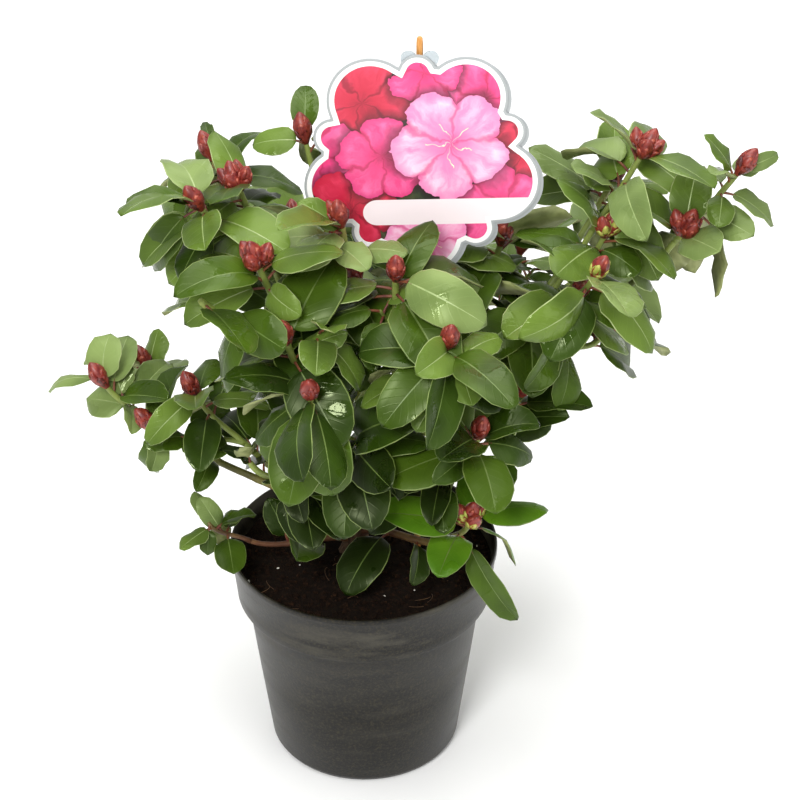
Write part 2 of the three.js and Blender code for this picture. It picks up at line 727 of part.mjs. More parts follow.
// The card's outline: five large round lobes with a small one in each notch between them.
function labelShape() {
  const discs = [];
  for (let i = 0; i < label.lobes; i++) {
    const angle = Math.PI / 2 + (2 * Math.PI * i) / label.lobes;
    const next = angle + Math.PI / label.lobes;
    const { notch, petal } = label;
    discs.push({ x: notch.ring * Math.cos(angle), y: notch.ring * Math.sin(angle), radius: notch.radius });
    discs.push({ x: petal.ring * Math.cos(next), y: petal.ring * Math.sin(next), radius: petal.radii[i] });
  }
  const meetings = discs.map((disc, i) => outerMeeting(disc, discs[(i + 1) % discs.length]));
  const shape = new THREE.Shape();
  discs.forEach((disc, i) => {
    const from = meetings[(i + discs.length - 1) % discs.length];
    const to = meetings[i];
    const start = Math.atan2(from.y - disc.y, from.x - disc.x);
    const end = Math.atan2(to.y - disc.y, to.x - disc.x);
    shape.absarc(disc.x, disc.y, disc.radius, start, end, false);
  });
  return shape;
}

// Where two circles meet, on the side away from the card's centre.
function outerMeeting(one, other) {
  const between = Math.hypot(other.x - one.x, other.y - one.y);
  const along = (one.radius ** 2 - other.radius ** 2 + between ** 2) / (2 * between);
  const off = Math.sqrt(one.radius ** 2 - along ** 2);
  const unit = { x: (other.x - one.x) / between, y: (other.y - one.y) / between };
  const foot = { x: one.x + along * unit.x, y: one.y + along * unit.y };
  return { x: foot.x + off * unit.y, y: foot.y - off * unit.x };
}

// Stands a flat shape upright, facing -Y, with its back at the given depth.
function standing(shape, thickness, back, segments) {
  const options = { depth: thickness, bevelEnabled: false, curveSegments: segments };
  const geometry = new THREE.ExtrudeGeometry(shape, options);
  geometry.rotateX(Math.PI / 2).translate(0, back, 0);
  return geometry;
}

function cardSolid() {
  const [x, y, z] = label.centre;
  const geometry = standing(labelShape(), label.thickness, 0.5 * label.thickness, label.arcSegments);
  geometry.scale(1, 1, label.stretch).rotateY(-radians(label.tilt)).translate(x, y, z);
  return solid(geometry);
}

// The clip: a plate with two round ears behind the card, and a sleeve that holds the stick.
function clipSolid() {
  const [, y, z] = label.centre;
  const { ear, sleeve, width, height, plate: thickness, overlap } = clip;
  const shoulder = label.stretch * (label.notch.ring + label.notch.radius) - overlap;
  const shape = new THREE.Shape();
  shape.moveTo(-0.5 * width, shoulder - height);
  shape.lineTo(0.5 * width, shoulder - height);
  shape.absarc(ear.spread, shoulder, ear.radius, ear.from * Math.PI, ear.to * Math.PI, false);
  shape.absarc(-ear.spread, shoulder, ear.radius, (1 - ear.to) * Math.PI, (1 - ear.from) * Math.PI, false);
  const back = y + 0.5 * label.thickness + gap + thickness;
  const plate = standing(shape, thickness, back, ear.arcSegments).translate(stick.x, 0, z);
  const inner = stick.radius + gap + sleeve.play;
  const low = z + shoulder - height + overlap;
  const ring = [
    [inner, low],
    [sleeve.radius, low],
    [sleeve.radius, low + sleeve.height],
    [inner, low + sleeve.height],
    [inner, low],
  ];
  const sleeveSolid = turned(ring, stick.sides).translate([stick.x, stick.y, 0]);
  return solid(plate).add(sleeveSolid).subtract(stickSolid(gap));
}

// ---------------------------------------------------------------- assembly
const plant = new THREE.Group();
plant.name = "potted_rhododendron";
const placed = [];

// Cuts a piece clear of the grown neighbours placed before it, and adds it to the group.
function place(name, shape, grownShape, colour, roughness) {
  const box = shape.boundingBox();
  let body = shape;
  for (const { grown: neighbour, low, high } of placed) {
    const apart = [0, 1, 2].some((k) => box.min[k] > high[k] || box.max[k] < low[k]);
    if (!apart) body = body.subtract(neighbour);
  }
  plant.add(meshOf(name, mainBody(body), colour, roughness));
  const grownBox = grownShape.boundingBox();
  placed.push({ grown: grownShape, low: grownBox.min, high: grownBox.max });
}

plant.add(meshOf("pot", potSolid(), colours.potPlastic, 0.6));
plant.add(meshOf("soil", soilSolid(), colours.peat, 1));
plant.add(meshOf("label_card", cardSolid(), colours.card, 0.4));
plant.add(meshOf("label_clip", clipSolid(), colours.clearPlastic, 0.2));
place("label_stick", stickSolid(), stickSolid(fat), colours.bamboo, 0.7);

for (const [name, shoot] of limbs) {
  const isStem = name === "main_stem";
  const { sides, steps } = isStem ? trunk : bough;
  const colour = isStem ? colours.bark : colours.greenStem;
  const body = limbSolid(shoot, sides, steps);
  place(isStem ? name : `bough_${name}`, body, limbSolid(shoot, sides, steps, fat), colour, 0.8);
}
for (const entry of plan) {
  place(`foliage_${entry.mass.name}`, massSolid(entry), massSolid(entry, fat), colours.foliage, 0.5);
}

export default plant;
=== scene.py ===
import itertools
import math

import bpy
import numpy as np
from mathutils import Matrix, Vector, noise


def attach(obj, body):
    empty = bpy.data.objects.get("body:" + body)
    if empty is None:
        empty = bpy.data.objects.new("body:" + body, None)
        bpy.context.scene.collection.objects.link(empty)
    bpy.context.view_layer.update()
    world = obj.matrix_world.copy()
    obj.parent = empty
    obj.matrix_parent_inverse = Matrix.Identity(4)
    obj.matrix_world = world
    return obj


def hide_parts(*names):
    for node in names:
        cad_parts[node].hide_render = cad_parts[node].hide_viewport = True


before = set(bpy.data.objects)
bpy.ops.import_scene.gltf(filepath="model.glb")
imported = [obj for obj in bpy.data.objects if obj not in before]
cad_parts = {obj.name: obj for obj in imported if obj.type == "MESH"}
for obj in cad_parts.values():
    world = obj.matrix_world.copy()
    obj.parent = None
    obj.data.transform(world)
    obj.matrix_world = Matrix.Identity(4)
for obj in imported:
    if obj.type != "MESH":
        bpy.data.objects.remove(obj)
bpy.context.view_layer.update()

# A young rhododendron in its nursery pot, with a picture card on a bamboo stick.
# Sizes and places are in millimetres until a mesh is made, angles in degrees.
mm = 0.001
radians = math.radians
scene = bpy.context.scene
scene.view_settings.view_transform = "Standard"


def toLinear(hexColour):
    channels = [int(hexColour[i : i + 2], 16) / 255 for i in (1, 3, 5)]
    return [c / 12.92 if c <= 0.04045 else ((c + 0.055) / 1.055) ** 2.4 for c in channels] + [1.0]


# Scale of a pattern whose grain is so many millimetres wide.
def perMetre(grain):
    return 1000 / grain


# The value at a share of the way between two limits.
def between(limits, share):
    return limits[0] + (limits[1] - limits[0]) * share


# The socket that a source stands for: a node's first output, or the one named in (node, output).
def outputOf(source):
    node, output = source if isinstance(source, tuple) else (source, 0)
    return node.outputs[output]


# Adds a node with its settings. Links are {input: source}, stops are (place, colour).
def addNode(tree, kind, sockets=None, links=None, stops=None, **settings):
    made = tree.nodes.new("ShaderNode" + kind)
    for name, value in settings.items():
        setattr(made, name, value)
    for name, value in (sockets or {}).items():
        made.inputs[name].default_value = value
    for name, source in (links or {}).items():
        tree.links.new(outputOf(source), made.inputs[name])
    while stops and len(made.color_ramp.elements) < len(stops):
        made.color_ramp.elements.new(0.5)
    for element, (place, colour) in zip(made.color_ramp.elements if stops else [], stops or []):
        element.position = place
        element.color = toLinear(colour)
    return made


# A fresh material with its fixed values on the shader's own sockets. The last thing returned links a
# pattern to the object's own coordinates.
def startMaterial(name, roughness, colour="#808080", **fixed):
    material = bpy.data.materials.new(name)
    material.use_nodes = True
    tree = material.node_tree
    shader = tree.nodes["Principled BSDF"]
    shader.inputs["Base Color"].default_value = toLinear(colour)
    shader.inputs["Roughness"].default_value = roughness
    for socket, value in fixed.items():
        shader.inputs[socket].default_value = value
    coords = addNode(tree, "TexCoord")
    return material, tree, shader, {"Vector": (coords, "Object")}


# Ends a material: what feeds the shader's colour, roughness and relief. The relief's depth is in mm.
def wire(tree, shader, colour=None, roughness=None, height=None, depth=0.3, strength=0.5):
    if colour:
        tree.links.new(outputOf(colour), shader.inputs["Base Color"])
    if roughness:
        tree.links.new(outputOf(roughness), shader.inputs["Roughness"])
    if height:
        bump = addNode(tree, "Bump", {"Strength": strength, "Distance": depth * mm}, {"Height": height})
        tree.links.new(bump.outputs["Normal"], shader.inputs["Normal"])


def activate(piece):
    bpy.ops.object.select_all(action="DESELECT")
    piece.select_set(True)
    bpy.context.view_layer.objects.active = piece


def applyPlace(piece):
    activate(piece)
    bpy.ops.object.transform_apply(location=True, rotation=True, scale=True)


# Applies a piece's place, merges what touches, turns its faces outwards and smooths its gentle edges.
def finishShape(piece, sharpness):
    applyPlace(piece)
    bpy.ops.object.mode_set(mode="EDIT")
    bpy.ops.mesh.select_all(action="SELECT")
    bpy.ops.mesh.remove_doubles(threshold=1e-6)
    bpy.ops.mesh.normals_make_consistent(inside=False)
    bpy.ops.object.mode_set(mode="OBJECT")
    bpy.ops.object.shade_smooth_by_angle(angle=radians(sharpness))


# Joins two shapes or cuts one out of the other, and removes the tool.
def combine(piece, operation, tool):
    change = piece.modifiers.new(tool.name, "BOOLEAN")
    change.operation, change.solver, change.object = operation, "EXACT", tool
    activate(piece)
    bpy.ops.object.modifier_apply(modifier=change.name)
    bpy.data.objects.remove(tool)


# One mesh from many small parts. A part is its points in millimetres, its faces, a material number for
# each face, and the points' places on the surface map, or none.
def meshPiece(name, parts, materials, smooth=True):
    points, faces, shades, uvs = [], [], [], []
    for partPoints, partFaces, partShades, partUvs in parts:
        offset = len(points)
        points.extend(partPoints)
        faces.extend([[corner + offset for corner in face] for face in partFaces])
        shades.extend(partShades)
        uvs.extend(partUvs)
    mesh = bpy.data.meshes.new(name)
    mesh.from_pydata((np.asarray(points) * mm).tolist(), [], faces)
    for material in materials:
        mesh.materials.append(material)
    mesh.polygons.foreach_set("material_index", np.asarray(shades, dtype=np.int32))
    if uvs:
        layer = mesh.uv_layers.new(name="surface")
        corners = np.empty(len(mesh.loops), dtype=np.int32)
        mesh.loops.foreach_get("vertex_index", corners)
        layer.data.foreach_set("uv", np.asarray(uvs, dtype=np.float32)[corners].ravel())
    mesh.polygons.foreach_set("use_smooth", np.full(len(mesh.polygons), smooth))
    mesh.update()
    piece = bpy.data.objects.new(name, mesh)
    scene.collection.objects.link(piece)
    return piece


def seat(piece, nodes=()):
    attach(piece, "root")
    if nodes:
        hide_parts(*nodes)


# A body turned about a vertical axis: a disc whose face is extruded and scaled ring by ring.
def turnedPiece(name, profile, sides, centre=(0, 0)):
    radius, height = profile[0]
    bpy.ops.object.select_all(action="DESELECT")
    bpy.ops.mesh.primitive_circle_add(vertices=sides, radius=radius * mm, fill_type="NGON",
                                      location=(centre[0] * mm, centre[1] * mm, height * mm))
    piece = bpy.context.object
    piece.name = name
    bpy.ops.object.transform_apply(location=True)
    bpy.ops.object.mode_set(mode="EDIT")
    bpy.ops.mesh.select_all(action="SELECT")
    for nextRadius, nextHeight in profile[1:]:
        rise = (0, 0, (nextHeight - height) * mm)
        bpy.ops.mesh.extrude_region_move(TRANSFORM_OT_translate={"value": rise})
        middle = (centre[0] * mm, centre[1] * mm, nextHeight * mm)
        share = nextRadius / radius
        bpy.ops.transform.resize(value=(share, share, 1), center_override=middle)
        radius, height = nextRadius, nextHeight
    bpy.ops.object.mode_set(mode="OBJECT")
    return piece


# The same stream of chance as in the part's source, so that both grow one plant.
def seeded(seed):
    state = seed

    def draw():
        nonlocal state
        state = (state + 0x6D2B79F5) & 0xFFFFFFFF
        mixed = (state ^ (state >> 15)) * (1 | state) & 0xFFFFFFFF
        mixed ^= (mixed + (mixed ^ (mixed >> 7)) * (61 | mixed)) & 0xFFFFFFFF
        return (mixed ^ (mixed >> 14)) / 4294967296

    return draw


# Camera, floor and light. Places, aims and sides are in metres, powers in watts.
view = {"lens": 112, "sensor": 36, "place": (0.0258, -1.4413, 1.1989), "pitch": 32.39}
cameraData = bpy.data.cameras.new("view")
cameraData.lens = view["lens"]
cameraData.sensor_width = view["sensor"]
camera = bpy.data.objects.new("view", cameraData)
camera.location = view["place"]
camera.rotation_euler = (radians(90 - view["pitch"]), 0, 0)
scene.collection.objects.link(camera)
scene.camera = camera

studio = {
    "floorSide": 9,
    "floorColour": "#fcfcfb",
    "worldColour": "#ffffff",
    "worldStrength": 0.55,
    "lamps": {
        "sky": {"place": (-0.1, 0.15, 2.4), "aim": (0, 0, 0.2), "side": 1.8, "power": 46},
        "key": {"place": (-0.5, -1.9, 2.0), "aim": (0, 0, 0.3), "side": 0.7, "power": 48},
        "fill": {"place": (1.5, -1.2, 1.1), "aim": (0, 0, 0.3), "side": 1.2, "power": 7},
        "rim": {"place": (0.3, 1.6, 1.8), "aim": (0, 0, 0.35), "side": 1.0, "power": 6},
    },
}
bpy.ops.object.select_all(action="DESELECT")
bpy.ops.mesh.primitive_plane_add(size=studio["floorSide"])
floor = bpy.context.object
floor.name = "studioFloor"
# Matt painted board: an even white without gloss, which takes soft shadows.
floor.data.materials.append(startMaterial("mattPaintedBoard", 0.7, studio["floorColour"])[0])
world = bpy.data.worlds.new("studioLight")
world.use_nodes = True
background = world.node_tree.nodes["Background"]
background.inputs["Color"].default_value = toLinear(studio["worldColour"])
background.inputs["Strength"].default_value = studio["worldStrength"]
scene.world = world
for name, lamp in studio["lamps"].items():
    light = bpy.data.lights.new(name, "AREA")
    light.size = lamp["side"]
    light.energy = lamp["power"]
    lightObject = bpy.data.objects.new(name, light)
    lightObject.location = lamp["place"]
    towards = Vector(lamp["aim"]) - Vector(lamp["place"])
    lightObject.rotation_euler = towards.to_track_quat("-Z", "Y").to_euler()
    scene.collection.objects.link(lightObject)
print("studio: camera, floor and", len(studio["lamps"]), "lamps")

# How the plant grows: the rule and the sizes of the part's source, so that its twigs and leaves have
# their places here too. Finer growth comes after them, and some leaves are left out or set one by one.
up = np.array([0.0, 0.0, 1.0])
trunk = {"foot": (-5, 8, 152.8), "top": (-1, 4, 206), "lean": 12, "heading": 20,
         "flareRadius": 13, "flareFade": 7, "radius": 8.2, "topRadius": 6}
bough = {"rootRadius": 4.2, "tipRadius": 3.1, "parentShare": 0.8, "followParent": 0.5, "gap": 0.3}
twig = {"rootRadius": 2.9, "tipRadius": 2.3}
curveHandle = 0.36
crown = {"heart": np.array([20.0, 10.0, 190.0]), "leastLean": 6, "leanPerMillimetre": 0.12}
shootRule = {"length": 72, "sideTurn": 83, "sideLean": 0.3, "sideBranching": 0.8, "sideRadius": 0.9,
             "lowestFork": 0.12}
leafRule = {"count": 6, "length": 50, "widthShare": 0.6, "petiole": 11, "petioleLean": 0.35,
            "goldenAngle": 137.5, "spreadStep": 9, "firstNode": 3, "nodeStep": 3, "sag": 0.22,
            "jitter": 14, "roll": 36, "scale": (0.86, 0.28), "narrowness": (0.9, 0.2), "droop": (14, 40),
            "tries": 7, "swing": 13, "opening": 4, "skew": 0.9, "bluntness": 0.65,
            "stations": (0, 0.3, 0.62, 0.86, 1), "nearTip": 0.999}
clear = {"leaf": 1.1, "limb": 1.6, "limbReach": 60, "nearLeaves": 0.62, "rim": (8, 4, 3), "soil": 4,
         "card": 4, "cardRadius": 84, "stick": 3, "places": (0.1, 0.3, 0.5, 0.7, 0.9, 1),
         "boughSteps": 6, "twigSteps": 4}
chanceSeed = {"first": 1000, "step": 77}
potRim = {"radius": 95, "height": 166.5}
soilCrown = 152.5
cardCentre = np.array([39.0, -5.0, 470.0])
stickPlace = {"x": 38.2, "y": 0, "radius": 2.2}

# Each mass of foliage: what it grows on and where along it, its tip, the turn of its whorls, how long
# their leaves are and how far they open, then what it has of its own. A side shoot is a heading, a
# reach and a drop.
massKeys = ("name", "on", "at", "tip", "turn", "size", "open")
massRows = [
    ("front_left", "main_stem", 0.8, (-46, -90, 385), 325, 56, 54, {"sides": [(303, 28, 26)]}),
    ("front_right", "main_stem", 0.95, (56, -100, 388), 175, 56, 64, {}),
    ("centre", "front_right", 0.55, (23, -60, 414), 290, 56, 60, {"sides": [(123, 48, 27)]}),
    ("centre_left", "front_left", 0.5, (-12, -25, 434), 100, 56, 46, {}),
    ("upper_left_front", "front_left", 0.62, (-64, -65, 427), 220, 52, 48,
     {"sides": [(205, 40, 16)], "buds": 3}),
    ("upper_left", "main_stem", 0.92, (-80, 10, 443), 315, 47, 56,
     {"sides": [(112, 54, 4), (238, 42, -4)], "buds": 3}),
    ("tall_left", "upper_left", 0.6, (-37, 50, 457), 75, 44, 32, {"stem": 95, "leaves": 3}),
    ("left_low", "main_stem", 0.16, (-178, 20, 284), 140, 41, 38, {"sides": [(69, 64, 25)], "stem": 48}),
    ("left_mid", "main_stem", 0.34, (-114, 0, 289), 295, 41, 48, {"sides": [(190, 30, 24)], "stem": 60}),
    ("left_sprig", "main_stem", 0.12, (-107, -30, 203), 95, 25, 50, {"stem": 34, "buds": 0}),
    ("low_right", "front_right", 0.4, (76, -95, 317), 235, 50, 44, {}),
    ("low_front", "main_stem", 0.3, (72, -75, 235), 20, 54, 48, {"stem": 42}),
    ("right_mid", "main_stem", 0.98, (162, 10, 408), 185, 53, 38, {"sides": [(258, 51, 4)]}),
    ("right_top", "right_mid", 0.55, (185, 30, 457), 310, 52, 54, {"stem": 60, "buds": 3}),
    ("right_tip", "right_mid", 0.68, (248, 20, 449), 290, 26, 42,
     {"sides": [(198, 36, 40)], "sideSize": 44}),
    ("right_back", "right_mid", 0.45, (169, 65, 418), 115, 47, 38, {"stem": 60}),
    ("right_inner", "right_mid", 0.4, (142, -15, 374), 300, 48, 52, {"sides": [(51, 32, 45)], "stem": 60}),
    ("label_right", "main_stem", 0.88, (94, 40, 385), 285, 56, 54, {"sides": [(300, 40, 34)]}),
    ("right_low", "main_stem", 0.7, (106, -30, 307), 80, 41, 38, {}),
    ("skirt_left", "front_left", 0.3, (-51, -60, 273), 175, 56, 48,
     {"sides": [(130, 40, 20)], "stem": 56, "buds": 0}),
    ("skirt_centre", "main_stem", 0.62, (-6, -78, 304), 235, 52, 42, {"stem": 56, "buds": 0}),
    ("skirt_right", "front_right", 0.28, (53, -59, 278), 170, 56, 56, {"stem": 50, "buds": 0}),
    ("rear_left", "main_stem", 0.76, (-97, 104, 372), 145, 53, 38,
     {"sides": [(45, 65, 34), (90, 46, 58)], "leaves": 5}),
    ("rear_centre", "main_stem", 0.84, (-23, 125, 362), 355, 56, 64,
     {"sides": [(45, 69, 31), (95, 70, 61)]}),
    ("rear_right", "main_stem", 0.66, (112, 123, 332), 40, 56, 38,
     {"sides": [(20, 59, 14), (95, 53, 58)], "leaves": 5}),
    ("crown_inner", "rear_centre", 0.5, (46, 43, 391), 300, 56, 42, {"sides": [(180, 64, 9)], "stem": 60}),
]
masses = [dict(zip(massKeys, row), **row[len(massKeys)]) for row in massRows]


def unit(vector):
    return vector / math.sqrt(vector @ vector)


def leaning(heading, lean):
    side = math.sin(radians(lean))
    east, north = side * math.cos(radians(heading)), side * math.sin(radians(heading))
    return np.array([east, north, math.cos(radians(lean))])


def limb(start, leaving, end, arriving, rootRadius, tipRadius):
    handle = curveHandle * math.sqrt((start - end) @ (start - end))
    points = np.array([start, start + leaving * handle, end - arriving * handle, end])
    return {"points": points, "root": rootRadius, "tip": tipRadius}


def pointOn(shoot, t):
    k = 1 - t
    return np.array([k * k * k, 3 * k * k * t, 3 * k * t * t, t * t * t]) @ shoot["points"]


def radiusOn(shoot, t):
    flare = shoot.get("flare", 0) * math.exp(-trunk["flareFade"] * t)
    return shoot.get("share", 1) * (shoot["root"] + (shoot["tip"] - shoot["root"]) * t + flare)


def directionOn(shoot, t, step=0.01):
    return unit(pointOn(shoot, min(t + step, 1)) - pointOn(shoot, max(t - step, 0)))


def lengthOf(shoot, steps=16):
    places = [pointOn(shoot, i / steps) for i in range(steps + 1)]
    return sum(np.linalg.norm(b - a) for a, b in zip(places, places[1:]))


def capsules(shoot, steps):
    places = [(pointOn(shoot, i / steps), radiusOn(shoot, i / steps)) for i in range(steps + 1)]
    return [(a, b, max(first, second)) for (a, first), (b, second) in zip(places, places[1:])]


# Half the blade's width, as a share of its widest, from its foot (0) to its tip (1).
def outline(t):
    t = min(t, leafRule["nearTip"])
    return math.sin(math.pi * t ** leafRule["skew"]) ** leafRule["bluntness"]


def bladePoint(leaf, t, across, lift):
    turn = leaf["droop"] * t
    point = leaf["foot"] + leaf["direction"] * (leaf["length"] * math.sin(turn) / leaf["droop"])
    point = point + leaf["normal"] * (leaf["length"] * (math.cos(turn) - 1) / leaf["droop"])
    point = point + leaf["side"] * (across * 0.5 * leaf["width"])
    return point + (leaf["normal"] * math.cos(turn) + leaf["direction"] * math.sin(turn)) * lift


# One leaf of a whorl, from its place on the shoot and its own share of chance.
def growLeaf(root, axis, azimuth, spread, length, chance):
    east = unit(np.array([1.0, 0, 0]) - axis * axis[0])
    north = np.cross(axis, east)
    angle = radians(azimuth + leafRule["jitter"] * (chance[0] - 0.5))
    opened = radians(spread + leafRule["jitter"] * (chance[1] - 0.5))
    outward = east * math.cos(angle) + north * math.sin(angle)
    direction = unit(axis * math.cos(opened) + outward * math.sin(opened) - leafRule["sag"] * up)
    normal = axis + up
    normal = unit(normal - direction * (normal @ direction))
    side = np.cross(normal, direction)
    roll = radians(leafRule["roll"] * (chance[2] - 0.5))
    rolled = normal * math.cos(roll) + side * math.sin(roll)
    petiole = unit(direction + axis * leafRule["petioleLean"])
    scale = leafRule["scale"][0] + leafRule["scale"][1] * chance[3]
    width = leafRule["widthShare"] * (leafRule["narrowness"][0] + leafRule["narrowness"][1] * chance[4])
    return {
        "root": root,
        "foot": root + petiole * (leafRule["petiole"] * (length / leafRule["length"])),
        "direction": direction,
        "normal": rolled,
        "side": np.cross(rolled, direction),
        "length": length * scale,
        "width": length * scale * width,
        "droop": radians(leafRule["droop"][0] + leafRule["droop"][1] * chance[5]),
    }


# A blade as a coarse sheet: its edges and eight triangles, to find crossings.
def sheetOf(leaf, lift):
    stations = leafRule["stations"]
    last = len(stations) - 2
    middle = [bladePoint(leaf, t, 0, lift) for t in stations]
    triangles, edges = [], []
    for hand in (-1, 1):
        margin = [bladePoint(leaf, t, hand * outline(t), lift) for t in stations]
        for i in range(last + 1):
            if i > 0:
                triangles.append([middle[i], margin[i], margin[i + 1]])
                edges.append([middle[i], margin[i]])
            if i < last:
                triangles.append([middle[i], margin[i + 1], middle[i + 1]])
            edges.append([margin[i], margin[i + 1]])
    edges += [[middle[i], middle[i + 1]] for i in range(last + 1)]
    return np.array(edges), np.array(triangles)


# Whether any edge passes through any triangle.
def anyCross(edges, triangles):
    start = edges[:, None, 0]
    along = edges[:, None, 1] - start
    corner = triangles[None, :, 0]
    first, second = triangles[None, :, 1] - corner, triangles[None, :, 2] - corner
    across = np.cross(along, second)
    scale = (first * across).sum(-1)
    flat = np.abs(scale) < 1e-9
    scale = np.where(flat, 1, scale)
    reach = start - corner
    u = (reach * across).sum(-1) / scale
    turned = np.cross(reach, first)
    v = (along * turned).sum(-1) / scale
    t = (second * turned).sum(-1) / scale
    return bool((~flat & (u >= 0) & (u <= 1) & (v >= 0) & (u + v <= 1) & (t >= 0) & (t <= 1)).any())


# Whether a leaf's points touch the pot, the soil, the card or its stick, or pass the card's edge.
def blocked(samples):
    x, y, z = samples.T
    out = np.hypot(x, y)
    inside, outside, above = clear["rim"]
    rim = potRim["radius"]
    nearPot = (out > rim - inside) & (out < rim + outside) & (z < potRim["height"] + above)
    nearPot |= (out < rim) & (z < soilCrown + clear["soil"])
    facesCard = np.hypot(x - cardCentre[0], z - cardCentre[2]) < clear["cardRadius"]
    nearCard = (np.abs(y - cardCentre[1]) < clear["card"]) & facesCard
    nearStick = np.hypot(x - stickPlace["x"], y - stickPlace["y"]) < stickPlace["radius"] + clear["stick"]
    passes = (y < cardCentre[1]).any() and (y > cardCentre[1]).any() and facesCard.any()
    return bool((nearPot | nearCard | nearStick).any() or passes)


# How far each point is from each stretch between a start and an end.
def distances(points, starts, ends):
    along = ends - starts
    t = ((points[:, None] - starts[None]) * along[None]).sum(-1) / (along * along).sum(-1)[None]
    t = np.clip(t, 0, 1)
    return np.linalg.norm(points[:, None] - starts[None] - along[None] * t[..., None], axis=-1)


def isClear(leaf, limbsNear):
    starts, ends, radii = limbsNear
    middle = bladePoint(leaf, 0.5, 0, 0)
    samples = np.array([bladePoint(leaf, t, hand * outline(t), 0)
                        for t in clear["places"] for hand in (-1, 0, 1)])
    if blocked(samples):
        return False
    near = distances(middle[None], starts, ends)[0] <= clear["limbReach"]
    room = radii[near] + clear["limb"]
    if near.any() and (distances(samples, starts[near], ends[near]) < room).any():
        return False
    close = [other for other in grown if np.linalg.norm(other["middle"] - middle)
             < clear["nearLeaves"] * (other["leaf"]["length"] + leaf["length"])]
    if not close:
        return True
    edges = np.concatenate([other["sheet"][0] for other in close])
    triangles = np.concatenate([other["sheet"][1] for other in close])
    for lift in (-clear["leaf"], 0, clear["leaf"]):
        sheet = sheetOf(leaf, lift)
        if anyCross(sheet[0], triangles) or anyCross(edges, sheet[1]):
            return False
    return True


# The leading shoot of a mass and its side shoots, each ending in a whorl of leaves.
def shootsOf(mass):
    tip = np.array(mass["tip"], float)
    fromHeart = tip - crown["heart"]
    heading = math.degrees(math.atan2(fromHeart[1], fromHeart[0]))
    lean = crown["leastLean"] + crown["leanPerMillimetre"] * math.hypot(fromHeart[0], fromHeart[1])
    axis = leaning(heading, lean)
    rising = unit(unit(fromHeart) + axis)
    length = mass.get("stem", shootRule["length"])
    root = tip - rising * length
    leader = limb(root, rising, tip, axis, twig["rootRadius"], twig["tipRadius"])
    leader.update(axis=axis, turn=mass["turn"])
    shoots = [leader]
    for sideHeading, reach, drop in mass.get("sides", []):
        away = leaning(sideHeading, 90)
        sideTip = tip + away * reach - up * drop
        sideAxis = unit(axis + away * shootRule["sideLean"])
        fork = max(shootRule["lowestFork"], 1 - (reach + max(drop, 0)) / length)
        leaving = unit(directionOn(leader, fork) + away * shootRule["sideBranching"])
        radius = radiusOn(leader, fork) * shootRule["sideRadius"]
        side = limb(pointOn(leader, fork), leaving, sideTip, sideAxis, radius, twig["tipRadius"])
        side.update(axis=sideAxis, turn=mass["turn"] + shootRule["sideTurn"] * len(shoots))
        shoots.append(side)
    return {"mass": mass, "shoots": shoots, "root": root, "rising": rising}


mainStem = limb(np.array(trunk["foot"], float), up, np.array(trunk["top"], float),
                leaning(trunk["heading"], trunk["lean"]), trunk["radius"], trunk["topRadius"])
mainStem["flare"] = trunk["flareRadius"] - trunk["radius"]
plan = [shootsOf(mass) for mass in masses]
limbs = {"main_stem": mainStem}
waiting = list(plan)
while waiting:
    entry = next(entry for entry in waiting if entry["mass"]["on"] in limbs)
    waiting.remove(entry)
    mass, parent = entry["mass"], limbs[entry["mass"]["on"]]
    start = pointOn(parent, mass["at"])
    leaving = directionOn(parent, mass["at"]) * bough["followParent"] + unit(entry["root"] - start)
    end = entry["root"] - entry["rising"] * bough["gap"]
    rootRadius = min(bough["rootRadius"], bough["parentShare"] * radiusOn(parent, mass["at"]))
    limbs[mass["name"]] = limb(start, unit(leaving), end, entry["rising"], rootRadius, bough["tipRadius"])

bareLimbs = [piece for shoot in limbs.values() for piece in capsules(shoot, clear["boughSteps"])]
for entry in plan:
    entry["capsules"] = [piece for shoot in entry["shoots"] for piece in capsules(shoot, clear["twigSteps"])]
grown = []


def limbsBeside(entry):
    others = [piece for other in plan if other is not entry for piece in other["capsules"]]
    return tuple(np.array([piece[i] for piece in bareLimbs + others]) for i in range(3))


def keepLeaf(entry, leaf, age):
    grown.append({"mass": entry["mass"], "leaf": leaf, "middle": bladePoint(leaf, 0.5, 0, 0),
                  "sheet": sheetOf(leaf, 0), "age": age})


# Tries a leaf at one place on a shoot until it is clear of the limbs and of the leaves so far.
def tryLeaf(entry, shoot, t, azimuth, spread, size, chance, limbsNear, age):
    for attempt in range(leafRule["tries"]):
        draws = [chance() for _ in range(6)]
        swing = (1 if attempt % 2 == 0 else -1) * leafRule["swing"] * attempt
        opened = spread + leafRule["opening"] * attempt * (draws[1] - 0.5)
        leaf = growLeaf(pointOn(shoot, t), shoot["axis"], azimuth + swing, opened, size, draws)
        if isClear(leaf, limbsNear):
            keepLeaf(entry, leaf, age)
            return


for index, entry in enumerate(plan):
    mass = entry["mass"]
    chance = seeded(chanceSeed["first"] + chanceSeed["step"] * index)
    limbsNear = limbsBeside(entry)
    for number, shoot in enumerate(entry["shoots"]):
        size = (number and mass.get("sideSize")) or mass["size"]
        length = lengthOf(shoot)
        for i in range(mass.get("leaves", leafRule["count"])):
            t = 1 - (leafRule["firstNode"] + leafRule["nodeStep"] * i) / length
            azimuth = shoot["turn"] + leafRule["goldenAngle"] * i
            spread = mass["open"] + leafRule["spreadStep"] * i
            tryLeaf(entry, shoot, t, azimuth, spread, size, chance, limbsNear, "grown")
print("growth: the solids' own leaves,", len(grown))

